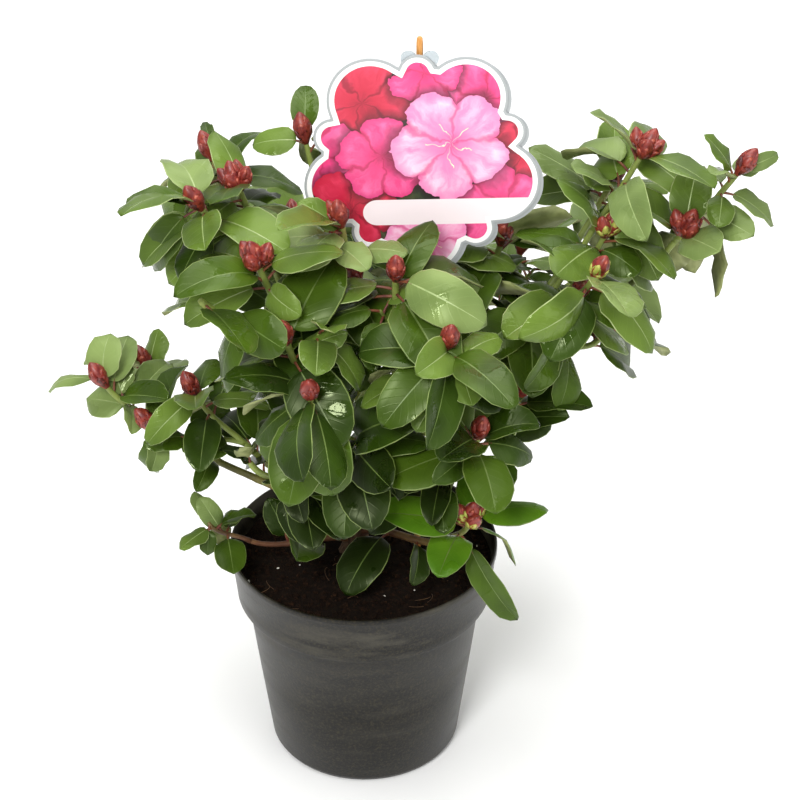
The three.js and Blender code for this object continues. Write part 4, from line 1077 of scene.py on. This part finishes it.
def budMesh(base, axis, scale, turn, opening):
    length, radius = bud["length"] * scale, bud["radius"] * scale
    east = unit(np.array([1.0, 0, 0]) - axis * axis[0])
    north = np.cross(axis, east)

    def place(t, angle, lift=0.0):
        outward = east * math.cos(angle) + north * math.sin(angle)
        along = -bud["sunk"] * scale + t * (length + bud["sunk"] * scale)
        return base + axis * along + outward * (budRadius(t) * radius + lift * scale)

    points, faces = [], []
    sides, rule, rings = bud["sides"], bud["scales"], len(bud["profile"])
    for t, share in bud["profile"]:
        points += [place(t, 2 * math.pi * k / sides) for k in range(sides)]
    last = (rings - 1) * sides
    points += [place(0, 0, -budRadius(0) * bud["radius"]), place(1, 0)]
    for k in range(sides):
        a, b = k, (k + 1) % sides
        faces += [(ring + a, ring + b, ring + b + sides, ring + a + sides) for ring in range(0, last, sides)]
        faces += [(len(points) - 2, b, a), (last + a, last + b, len(points) - 1)]
    shades = [redScale] * len(faces)
    for i in range(rule["count"]):
        start, angle = rule["first"] + rule["step"] * i, radians(turn + leafRule["goldenAngle"] * i)
        end, first = min(start + rule["length"], rule["last"]), len(points)
        for along, width, lift in rule["rows"]:
            t, spread = between((start, end), along), width * rule["spread"]
            edge = min(lift, rule["edge"])
            points += [place(t, angle - spread, edge), place(t, angle, lift), place(t, angle + spread, edge)]
        points += [place(end, angle, rule["tip"]), place(0.5 * (start + end), angle, -rule["sunk"])]
        for a in (first, first + 3):
            faces += [(a, a + 1, a + 4, a + 3), (a + 1, a + 2, a + 5, a + 4)]
        faces += [(first + 6, first + 7, first + 9), (first + 7, first + 8, first + 9)]
        ring = [first + k for k in (0, 3, 6, 9, 8, 5, 2, 1)]
        faces += [(a, b, first + 10) for a, b in zip(ring, ring[1:] + ring[:1])]
        outer = brownScale if i < rule["brown"] else redScale
        if opening and i < rule["green"]:
            outer = greenBract
        shades += [outer] * 4 + [paleTip if outer == redScale else outer] * 2 + [outer] * 8
    return points, faces, shades, []


# Bud scales, all satin and finely mottled: brown and weathered outside, red, paler red at the tips, and
# yellow-green where a bud opens.
budMaterials = [
    dullSkin("brownOuterScale", "#42161a", "#64281f", 0.45, 3.33),
    dullSkin("redBudScale", "#651b19", "#8e3529", 0.4, 3.85),
    dullSkin("paleRedScaleTip", "#7a2c23", "#a4503a", 0.4, 3.85),
    dullSkin("yellowGreenBract", "#8f9a3c", "#b5ae58", 0.45, 5),
]
budParts, around = [], bud["around"]
for entry in plan:
    name, opening = entry["mass"]["name"], entry["mass"]["name"] in bud["opening"]
    for number, shoot in enumerate(entry["shoots"]):
        count = bud["clusters"].get((name, number), min(1, entry["mass"].get("buds", 1)))
        if count == 0:
            continue
        tip, axis, turn = pointOn(shoot, 1), shoot["axis"], shoot["turn"]
        budParts.append(budMesh(tip, axis, 1, turn, opening))
        for i in range(1, count):
            away = leaning(turn + around["turn"] + 360 * i / (count - 1), 90)
            leant = unit(axis + away * around["lean"])
            base = tip - axis * around["below"] + leant * around["out"]
            budParts.append(budMesh(base, leant, around["scale"], turn + around["step"] * i, opening))
seat(meshPiece("flowerBuds", budParts, budMaterials))
print("buds:", len(budParts))

# The pot: black moulded plastic, dull with dust, with a collar, a rounded rim and drain holes. Its
# profile is radii and heights, up the outside from the foot and down the inside to the floor.
pot = {
    "profile": [(63, 0), (66.54, 1.46), (68.63, 5), (76.47, 65.5), (84, 125.5), (85.2, 126.6), (90.2, 127.5),
                (90.8, 128.7), (91.4, 134.5), (94.3, 162), (95, 162.9), (95, 165.6), (94.6, 166.5),
                (93.4, 166.5), (93, 165.7), (89.2, 130.6), (82.4, 127.1), (67.03, 7.5), (63, 2.5)],
    "sides": 96,
    "drains": {"count": 5, "radius": 5, "ring": 46, "reach": 20, "sides": 20},
}


# Recycled black plastic: brown-black and finely grained, satin, with pale dust wiped round the collar
# and thinner below it. The grain is drawn 2 mm wide, coarser than the mould's own, to show.
def mouldedPot():
    film = {"Specular IOR Level": 0.25}
    material, tree, shader, onObject = startMaterial("mouldedRecycledPlastic", 0.45, **film)
    place = addNode(tree, "SeparateXYZ", links=onObject)
    stretch = (perMetre(77), perMetre(77), perMetre(14.3))
    wiped = addNode(tree, "Mapping", {"Scale": stretch}, onObject)
    wipes = addNode(tree, "TexNoise", {"Scale": 1.0, "Detail": 6.0, "Roughness": 0.6}, {"Vector": wiped})
    smears = addNode(tree, "MapRange", {"From Min": 0.47, "From Max": 0.68}, {"Value": wipes})
    collar = {"From Min": 0.1, "From Max": 0.14, "To Min": 0.25, "To Max": 0.8}
    high = addNode(tree, "MapRange", collar, {"Value": (place, "Z")})
    dust = addNode(tree, "Math", links={0: smears, 1: high}, operation="MULTIPLY")
    grit = addNode(tree, "TexNoise", {"Scale": perMetre(1.92), "Detail": 3.0, "Roughness": 0.7}, onObject)
    body = addNode(tree, "ValToRGB", links={"Fac": grit},
                   stops=[(0.34, "#040302"), (0.5, "#0f0d08"), (0.66, "#2a2517")])
    dusty = addNode(tree, "Mix", {7: toLinear("#47443b")}, {0: dust, 6: body}, data_type="RGBA")
    shine = addNode(tree, "MapRange", {"To Min": 0.36, "To Max": 0.62}, {"Value": dust})
    wire(tree, shader, (dusty, 2), shine, grit, depth=0.2, strength=0.5)
    return material


potPiece, drains = turnedPiece("nurseryPot", pot["profile"], pot["sides"]), pot["drains"]
finishShape(potPiece, 50)
for i in range(drains["count"]):
    x, y, z = leaning(360 * (i + 0.5) / drains["count"], 90) * drains["ring"] * mm
    bpy.ops.object.select_all(action="DESELECT")
    bpy.ops.mesh.primitive_cylinder_add(vertices=drains["sides"], radius=drains["radius"] * mm,
                                        depth=drains["reach"] * mm, location=(x, y, 0))
    combine(potPiece, "DIFFERENCE", bpy.context.object)
potPiece.data.materials.append(mouldedPot())
seat(potPiece, ["pot"])
print("pot:", len(potPiece.data.polygons), "faces")

# The soil: a turned body whose top is uneven, with loose crumbs, perlite and fibres on it. The profile
# goes up inside the pot to the edge of the top, which rises in rings to the crown.
soil = {
    "profile": [(62.4, 2.9), (66.63, 8.1), (82, 126.5), (88.4, 131.5), (90.4, 149)],
    "topRadius": 91,
    "top": (150, 151.6),
    "rings": 22,
    "sides": 72,
    "roughness": 1.1,
    "waves": [(1, 0.06), (0.6, 0.17), (0.4, 0.4)],
    "grain": {"stretch": (0.7, 1.3), "dent": (0.8, 1.2), "rise": 0.45},
    "crumbs": {"count": 1100, "radius": (0.7, 2.3), "seed": 9106},
    "perlite": {"count": 16, "radius": (0.5, 1.2), "seed": 9107},
    "fibres": {"count": 22, "length": (5, 13), "radii": (0.25, 0.15), "lift": (-0.5, 2.5), "seed": 9200,
               "margin": 12, "clear": 4, "bends": ((40, 70), (-50, 110)),
               "tube": {"sides": 4, "rings": 6, "relief": 0}},
    "margin": 3,
    "stickRoom": 4,
}


# Damp peat: nearly black brown and matt, clotted, with lighter dry crumbs.
def dampPeat(name, dark, middle, light):
    film = {"Specular IOR Level": 0.12}
    material, tree, shader, onObject = startMaterial(name, 0.95, **film)
    clots = addNode(tree, "TexNoise", {"Scale": perMetre(3.85), "Detail": 8.0, "Roughness": 0.75}, onObject)
    tone = addNode(tree, "ValToRGB", links={"Fac": clots},
                   stops=[(0.35, dark), (0.55, middle), (0.75, light)])
    wire(tree, shader, tone, height=clots, depth=2.0, strength=1.0)
    return material


rings = soil["rings"]
soilProfile = soil["profile"] + [(soil["topRadius"] * (1 - k / (rings + 0.5)),
                                  between(soil["top"], k / rings)) for k in range(rings + 1)]
soilPiece = turnedPiece("pottingSoil", soilProfile, soil["sides"])
for vertex in soilPiece.data.vertices:
    if vertex.co.z > (soil["top"][0] - 0.5) * mm:
        place = vertex.co / mm
        rough = sum(height * noise.noise(place * perMillimetre) for height, perMillimetre in soil["waves"])
        vertex.co.z += soil["roughness"] * rough * mm
finishShape(soilPiece, 60)
soilPiece.data.materials.append(dampPeat("dampPeat", "#0c0704", "#1a100a", "#3c281a"))
seat(soilPiece, ["soil"])


# The twelve corners of a regular body of twenty faces.
golden = (1 + math.sqrt(5)) / 2
signs = [(a, b * golden) for a in (-1, 1) for b in (-1, 1)]
lumpCorners = np.array([(0, a, b) for a, b in signs] + [(a, b, 0) for a, b in signs]
                       + [(b, 0, a) for a, b in signs]) / math.sqrt(1 + golden**2)


# A grain of soil: that body, stretched and dented by chance.
def lump(centre, radius, chance):
    rule = soil["grain"]
    stretch = radius * np.array([between(rule["stretch"], chance()) for axis in "xyz"])
    return [centre + corner * stretch * between(rule["dent"], chance()) for corner in lumpCorners]


# Its faces are the triples of neighbouring corners, each turned outwards.
def lumpFaces():
    apart = np.linalg.norm(lumpCorners[:, None] - lumpCorners[None], axis=-1)
    near = apart < 1.1 * apart[apart > 0].min()
    faces = []
    for a, b, c in itertools.combinations(range(len(lumpCorners)), 3):
        if near[a, b] and near[b, c] and near[a, c]:
            first, second = lumpCorners[b] - lumpCorners[a], lumpCorners[c] - lumpCorners[a]
            faces.append((a, b, c) if np.cross(first, second) @ lumpCorners[a] > 0 else (a, c, b))
    return faces


def scatterPlace(chance, reach):
    while True:
        x, y = (2 * chance() - 1) * reach, (2 * chance() - 1) * reach
        fromStick = math.hypot(x - stickPlace["x"], y - stickPlace["y"])
        if math.hypot(x, y) < reach and fromStick > soil["stickRoom"]:
            return np.array([x, y, between(soil["top"], 1 - math.hypot(x, y) / soil["topRadius"])])


# Dry crumbs of the peat, matt and a little lighter than it, and perlite: chalky white specks.
twentyFaces = lumpFaces()
for name, material in (("crumbs", dampPeat("peatCrumbs", "#0f0805", "#24160d", "#4a3221")),
                       ("perlite", dullSkin("whitePerlite", "#cfcbc0", "#efece4", 0.8, 2))):
    rule, parts = soil[name], []
    chance = seeded(rule["seed"])
    for i in range(rule["count"]):
        place = scatterPlace(chance, soil["topRadius"] - soil["margin"])
        radius = between(rule["radius"], chance() ** 2)
        grain = lump(place + up * soil["grain"]["rise"] * radius, radius, chance)
        parts.append((grain, twentyFaces, [0] * len(twentyFaces), []))
    seat(meshPiece("soil" + name.capitalize(), parts, [material], smooth=False))
rule, parts = soil["fibres"], []
chance = seeded(rule["seed"])
for i in range(rule["count"]):
    start = scatterPlace(chance, soil["topRadius"] - rule["margin"]) + up
    heading, reach = 360 * chance(), between(rule["length"], chance())
    end = start + leaning(heading, 90) * reach + up * between(rule["lift"], chance())
    if math.hypot(end[0], end[1]) <= soil["topRadius"] - rule["clear"]:
        leaving, arriving = [leaning(heading + turn, lean) for turn, lean in rule["bends"]]
        parts.append(tube(limb(start, leaving, end, arriving, *rule["radii"]), **rule["tube"]))
# Peat fibres: dry, matt and paler than the soil.
fibreSkin = dullSkin("dryPeatFibre", "#4a3321", "#6e5034", 0.8)
seat(meshPiece("soilFibres", parts, [fibreSkin]))
print("soil: crumbs, perlite and", len(parts), "fibres")

# The picture card: a printed plastic card cut round five large lobes and five small ones.
card = {
    "thickness": 1.0,
    "tilt": 2.2,
    "stretch": 1.05,
    "petal": {"ring": 51.5, "radii": [28, 27, 27, 28, 27]},
    "notch": {"ring": 58.5, "radius": 12.5},
    "points": 240,
    "greyRim": 1.7,
    "whiteBorder": 3.2,
    "backing": {"shift": (2.2, 1.2, -1.8), "thickness": 0.6},
    "manyCorners": 8,
}


def cardDiscs():
    discs = []
    for i in range(5):
        angle = math.pi / 2 + 2 * math.pi * i / 5
        notch, petal = card["notch"], card["petal"]
        discs.append((angle, notch["ring"], notch["radius"]))
        discs.append((angle + math.pi / 5, petal["ring"], petal["radii"][i]))
    return discs


# How far the card reaches from its centre towards an angle: the far side of the discs there.
def cardReach(angle):
    reach = 0
    for heading, ring, radius in cardDiscs():
        off = ring * math.sin(angle - heading)
        if abs(off) < radius and math.cos(angle - heading) > 0:
            reach = max(reach, ring * math.cos(angle - heading) + math.sqrt(radius * radius - off * off))
    return reach


def cardPlate(name, shift, thickness):
    bpy.ops.object.select_all(action="DESELECT")
    bpy.ops.mesh.primitive_circle_add(vertices=card["points"], radius=card["petal"]["ring"] * mm,
                                      fill_type="NGON", rotation=(radians(90), 0, 0))
    piece = bpy.context.object
    piece.name = name
    applyPlace(piece)
    for vertex in piece.data.vertices:
        angle = math.atan2(vertex.co.z, vertex.co.x)
        reach = cardReach(angle) * mm
        vertex.co = (reach * math.cos(angle), 0, reach * math.sin(angle) * card["stretch"])
    bpy.ops.object.mode_set(mode="EDIT")
    bpy.ops.mesh.select_all(action="SELECT")
    bpy.ops.mesh.extrude_region_move(TRANSFORM_OT_translate={"value": (0, thickness * mm, 0)})
    bpy.ops.mesh.select_all(action="SELECT")
    bpy.ops.mesh.normals_make_consistent(inside=False)
    bpy.ops.object.mode_set(mode="OBJECT")
    piece.rotation_euler = (0, -radians(card["tilt"]), 0)
    piece.location = (cardCentre + shift - (0, 0.5 * card["thickness"], 0)) * mm
    applyPlace(piece)
    return piece


# Selects the foremost face with many corners, which the insets narrow step by step.
def selectFront(piece):
    bpy.ops.mesh.select_all(action="DESELECT")
    bpy.ops.object.mode_set(mode="OBJECT")
    front = min(polygon.center.y for polygon in piece.data.polygons)
    for polygon in piece.data.polygons:
        large = len(polygon.vertices) > card["manyCorners"]
        polygon.select = large and abs(polygon.center.y - front) < 0.01 * mm
    bpy.ops.object.mode_set(mode="EDIT")


cardPiece = cardPlate("pictureCard", (0, 0, 0), card["thickness"])
bpy.ops.object.mode_set(mode="EDIT")
bpy.ops.mesh.select_mode(type="FACE")
for number, width in enumerate((card["greyRim"], card["whiteBorder"]), 1):
    selectFront(cardPiece)
    bpy.ops.mesh.inset(thickness=width * mm, depth=0, use_even_offset=True)
    bpy.ops.object.mode_set(mode="OBJECT")
    for polygon in cardPiece.data.polygons:
        if polygon.select and len(polygon.vertices) > card["manyCorners"]:
            polygon.material_index = number
    bpy.ops.object.mode_set(mode="EDIT")
bpy.ops.object.mode_set(mode="OBJECT")

# Where the printed blossoms lie on the card, from its centre to the right and up, in millimetres.
blossoms = {
    "span": 80,
    "places": [
        {"at": (-38, 40), "radius": 34, "turn": 10, "tone": "deep"},
        {"at": (40, 44), "radius": 30, "turn": 50, "tone": "mid"},
        {"at": (-66, 4), "radius": 27, "turn": 33, "tone": "mid"},
        {"at": (2, 62), "radius": 24, "turn": 70, "tone": "mid"},
        {"at": (66, 8), "radius": 26, "turn": 5, "tone": "deep"},
        {"at": (-44, -34), "radius": 30, "turn": 61, "tone": "deep"},
        {"at": (52, -32), "radius": 30, "turn": 25, "tone": "mid"},
        {"at": (4, -58), "radius": 28, "turn": 40, "tone": "pale"},
        {"at": (-24, 2), "radius": 30, "turn": 20, "tone": "mid"},
        {"at": (19, 12), "radius": 38, "turn": 48, "tone": "pale"},
    ],
    "tones": {
        "deep": ["#7a0f24", "#c3223f", "#e0405f", "#b51f3e"],
        "mid": ["#b21e4c", "#e33d7d", "#f56ea6", "#d8387a"],
        "pale": ["#cf3f7d", "#ee7fb3", "#fbcfe4", "#e98ab9"],
    },
    "band": {"left": -38, "low": -46, "high": -27.5, "tilt": 1.0, "colour": "#f4e6e8"},
}


# Gloss print on card: ruffled pink blossoms over dark leaves, with a blank pale band across them.
def blossomPrint():
    material, tree, shader, onObject = startMaterial("glossPrintedBlossoms", 0.3)
    span, (x, y, z) = blossoms["span"], cardCentre
    centred = addNode(tree, "Mapping",
                      {"Scale": (perMetre(span), 0, perMetre(span)), "Location": (-x / span, 0, -z / span)},
                      onObject)
    ruffle = addNode(tree, "TexNoise", {"Scale": 7.0, "Detail": 3.0}, {"Vector": centred})
    pushed = addNode(tree, "VectorMath", {1: (0.5, 0.5, 0.5)}, {0: (ruffle, "Color")}, operation="SUBTRACT")
    bent = addNode(tree, "VectorMath", {1: (0.16, 0, 0.16)},
                   {0: pushed, 2: centred}, operation="MULTIPLY_ADD")
    leafNoise = addNode(tree, "TexNoise", {"Scale": 5.0, "Detail": 4.0}, {"Vector": centred})
    whole = addNode(tree, "ValToRGB", links={"Fac": leafNoise},
                    stops=[(0.35, "#16201a"), (0.55, "#2c4030"), (0.7, "#6d7d4a")])
    for number, place in enumerate(blossoms["places"]):
        size, turn = place["radius"] / span, radians(place["turn"])
        u, v = place["at"][0] / place["radius"], place["at"][1] / place["radius"]
        moved = (-(u * math.cos(turn) + v * math.sin(turn)), 0, -(v * math.cos(turn) - u * math.sin(turn)))
        own = addNode(tree, "Mapping",
                      {"Scale": (1 / size, 0, 1 / size), "Rotation": (0, turn, 0), "Location": moved},
                      {"Vector": bent})
        parts = addNode(tree, "SeparateXYZ", links={"Vector": own})
        around = addNode(tree, "Math", links={0: (parts, "Z"), 1: (parts, "X")}, operation="ARCTAN2")
        petals = addNode(tree, "Math", {1: 2.5}, {0: around}, operation="MULTIPLY")
        swing = addNode(tree, "Math", links={0: petals}, operation="COSINE")
        lobe = addNode(tree, "Math", links={0: swing}, operation="ABSOLUTE")
        rounded = addNode(tree, "Math", {1: 0.45}, {0: lobe}, operation="POWER")
        edge = addNode(tree, "Math", {1: 0.3, 2: 0.72}, {0: rounded}, operation="MULTIPLY_ADD")
        reach = addNode(tree, "VectorMath", links={0: own}, operation="LENGTH")
        share = addNode(tree, "Math", links={0: (reach, "Value"), 1: edge}, operation="DIVIDE")
        dark, middle, light, margin = blossoms["tones"][place["tone"]]
        petal = addNode(tree, "ValToRGB", links={"Fac": share},
                        stops=[(0.0, dark), (0.28, middle), (0.78, light), (1.0, margin)])
        fan = addNode(tree, "Math", {1: 2.2}, {0: around}, operation="MULTIPLY")
        spokes = addNode(tree, "CombineXYZ", {"Z": 5.0 * number}, {"X": fan, "Y": share})
        streak = addNode(tree, "TexNoise", {"Scale": 1.7, "Detail": 6.0, "Roughness": 0.62},
                         {"Vector": spokes})
        shade = addNode(tree, "MapRange", {"From Min": 0.36, "From Max": 0.64, "To Max": 0.9},
                        {"Value": streak})
        streaked = addNode(tree, "Mix", {7: toLinear(middle)}, {0: shade, 6: petal}, data_type="RGBA")
        crease = addNode(tree, "MapRange", {"From Max": 0.4, "To Min": 0.7, "To Max": 0.0},
                         {"Value": lobe}, interpolation_type="SMOOTHERSTEP")
        creased = addNode(tree, "Mix", {7: toLinear(dark)}, {0: crease, 6: (streaked, 2)}, data_type="RGBA")
        fade = {"From Min": 1.0, "From Max": 1.22, "To Min": 0.75, "To Max": 0.0}
        fall = addNode(tree, "MapRange", fade, {"Value": share})
        shadowed = addNode(tree, "Mix", {7: toLinear("#2b0a14")}, {0: fall, 6: whole}, data_type="RGBA")
        whole = (shadowed, 2)
        inside = addNode(tree, "Math", {1: 1.0}, {0: share}, operation="LESS_THAN")
        whole = (addNode(tree, "Mix", links={0: inside, 6: whole, 7: (creased, 2)}, data_type="RGBA"), 2)
        if place["tone"] == "pale":
            rays = addNode(tree, "Math", {1: 5.5}, {0: around}, operation="MULTIPLY")
            wave = addNode(tree, "Math", links={0: rays}, operation="COSINE")
            ends = {"From Min": 0.4, "From Max": 0.42, "To Min": 0.993, "To Max": 2.0}
            near = addNode(tree, "MapRange", ends, {"Value": share})
            stamen = addNode(tree, "Math", links={0: wave, 1: near}, operation="GREATER_THAN")
            whole = (addNode(tree, "Mix", {7: toLinear("#fff3c4")},
                             {0: stamen, 6: whole}, data_type="RGBA"), 2)
    band = blossoms["band"]
    level = addNode(tree, "Mapping", {"Rotation": (0, radians(card["tilt"] - band["tilt"]), 0)},
                    {"Vector": centred})
    side = addNode(tree, "SeparateXYZ", links={"Vector": level})
    half = 0.5 * (band["high"] - band["low"]) / span
    middle = 0.5 * (band["high"] + band["low"]) / span
    start = band["left"] / span + half
    left = addNode(tree, "Math", {1: start}, {0: (side, "X")}, operation="SUBTRACT")
    beyond = addNode(tree, "Math", {1: 0.0}, {0: left}, operation="MINIMUM")
    rise = addNode(tree, "Math", {1: middle}, {0: (side, "Z")}, operation="SUBTRACT")
    flat = addNode(tree, "CombineXYZ", links={"X": beyond, "Z": rise})
    away = addNode(tree, "VectorMath", links={0: flat}, operation="LENGTH")
    covers = addNode(tree, "Math", {1: half}, {0: (away, "Value")}, operation="LESS_THAN")
    banded = addNode(tree, "Mix", {7: toLinear(band["colour"])}, {0: covers, 6: whole}, data_type="RGBA")
    wire(tree, shader, (banded, 2))
    return material


# Cut plastic: white and glossy on the printed side, a cool grey at the cut edge and behind.
def cutPlastic(name, colour, roughness):
    material, tree, shader, onObject = startMaterial(name, roughness, colour)
    haze = addNode(tree, "TexNoise", {"Scale": perMetre(16.7), "Detail": 3.0}, onObject)
    shine = addNode(tree, "MapRange", {"To Min": roughness * 0.8, "To Max": roughness * 1.25},
                    {"Value": haze})
    wire(tree, shader, roughness=shine, height=haze, depth=0.05, strength=0.2)
    return material


greyPlastic = cutPlastic("greyCutPlastic", "#a3a7a8", 0.4)
for material in (greyPlastic, cutPlastic("whiteCardBorder", "#f7f6f4", 0.32), blossomPrint()):
    cardPiece.data.materials.append(material)
seat(cardPiece, ["label_card"])
backing = cardPlate("cardBacking", card["backing"]["shift"], card["backing"]["thickness"])
backing.data.materials.append(greyPlastic)
seat(backing)
print("card:", len(cardPiece.data.polygons), "faces")

# The clip: a clear plate with two round ears behind the card, and a sleeve on the stick.
clip = {
    "plate": {"size": (20, 1, 26), "gap": 0.3, "overlap": 3},
    "ears": {"radius": 5.2, "spread": 7, "sides": 40},
    "sleeve": {"radius": 3.9, "inner": 2.75, "height": 18, "spare": 40, "sides": 32},
}


# Clear styrene: nearly colourless, bright at its edges, with a faint blue-grey cast.
def clearPlastic():
    glassy = {"Transmission Weight": 0.35, "IOR": 1.57}
    material, tree, shader, onObject = startMaterial("clearMouldedStyrene", 0.15, "#c3ccd0", **glassy)
    flow = addNode(tree, "TexNoise", {"Scale": perMetre(11.1), "Detail": 2.0}, onObject)
    wire(tree, shader, height=flow, depth=0.15, strength=0.3)
    return material


def clipCylinder(sides, radius, depth, place, turn=0):
    bpy.ops.object.select_all(action="DESELECT")
    bpy.ops.mesh.primitive_cylinder_add(vertices=sides, radius=radius * mm, depth=depth * mm,
                                        location=[value * mm for value in place],
                                        rotation=(radians(turn), 0, 0))
    return bpy.context.object


plate, ears, sleeve = clip["plate"], clip["ears"], clip["sleeve"]
width, thickness, height = plate["size"]
stickX, stickY = stickPlace["x"], stickPlace["y"]
shoulder = card["stretch"] * (card["notch"]["ring"] + card["notch"]["radius"]) - plate["overlap"]
plateTop = cardCentre[2] + shoulder
plateY = cardCentre[1] + 0.5 * card["thickness"] + plate["gap"] + 0.5 * thickness
bpy.ops.object.select_all(action="DESELECT")
bpy.ops.mesh.primitive_cube_add(size=1, location=(stickX * mm, plateY * mm, (plateTop - 0.5 * height) * mm))
clipPiece = bpy.context.object
clipPiece.name = "labelClip"
clipPiece.scale = (width * mm, thickness * mm, height * mm)
applyPlace(clipPiece)
for hand in (-1, 1):
    place = (stickX + hand * ears["spread"], plateY, plateTop)
    combine(clipPiece, "UNION", clipCylinder(ears["sides"], ears["radius"], thickness, place, 90))
place = (stickX, stickY, plateTop - height + plate["overlap"] + 0.5 * sleeve["height"])
sides, depth = sleeve["sides"], sleeve["height"]
combine(clipPiece, "UNION", clipCylinder(sides, sleeve["radius"], depth, place))
combine(clipPiece, "DIFFERENCE", clipCylinder(sides, sleeve["inner"], depth + sleeve["spare"], place))
clipPiece.data.materials.clear()
clipPiece.data.materials.append(clearPlastic())
finishShape(clipPiece, 30)
seat(clipPiece, ["label_clip"])

# The stick: split bamboo, a little uneven, with a joint below its blunt top. Its even part is a row of
# rings from the lowest height to the highest, and the tips are radii as shares and heights from the end.
stick = {
    "foot": 108,
    "top": 554.5,
    "point": [(0.5, 0), (1, 12)],
    "rings": (140, 530, 30),
    "uneven": (0.97, 0.04),
    "joint": {"height": 538, "reach": 2, "rise": 0.22},
    "blunt": [(1, 5), (0.86, 1), (0.6, 0)],
    "sides": 14,
}


# Split bamboo: warm straw colour, satin, with fine dark fibres lengthwise.
def splitBamboo():
    material, tree, shader, onObject = startMaterial("splitBamboo", 0.5)
    stretch = (perMetre(0.67), perMetre(0.67), perMetre(25))
    grain = addNode(tree, "Mapping", {"Scale": stretch}, onObject)
    fibres = addNode(tree, "TexNoise", {"Scale": 1.0, "Detail": 3.0}, {"Vector": grain})
    tone = addNode(tree, "ValToRGB", links={"Fac": fibres},
                   stops=[(0.3, "#9a6428"), (0.5, "#c98b45"), (0.7, "#dfab66")])
    wire(tree, shader, tone, height=fibres, depth=0.2, strength=0.5)
    return material


radius, joint = stickPlace["radius"], stick["joint"]
stickProfile = [(share * radius, stick["foot"] + rise) for share, rise in stick["point"]]
least, swing = stick["uneven"]
for height in range(*stick["rings"]):
    stickProfile.append((radius * (least + swing * math.sin(height)), height))
for side, rise in ((-1, 0), (0, joint["rise"]), (1, 0)):
    stickProfile.append((radius + rise, joint["height"] + side * joint["reach"]))
stickProfile += [(share * radius, stick["top"] - drop) for share, drop in stick["blunt"]]
stickPiece = turnedPiece("bambooStick", stickProfile, stick["sides"], (stickX, stickY))
finishShape(stickPiece, 60)
stickPiece.data.materials.append(splitBamboo())
seat(stickPiece, ["label_stick"])
print("label: card, clip and stick")
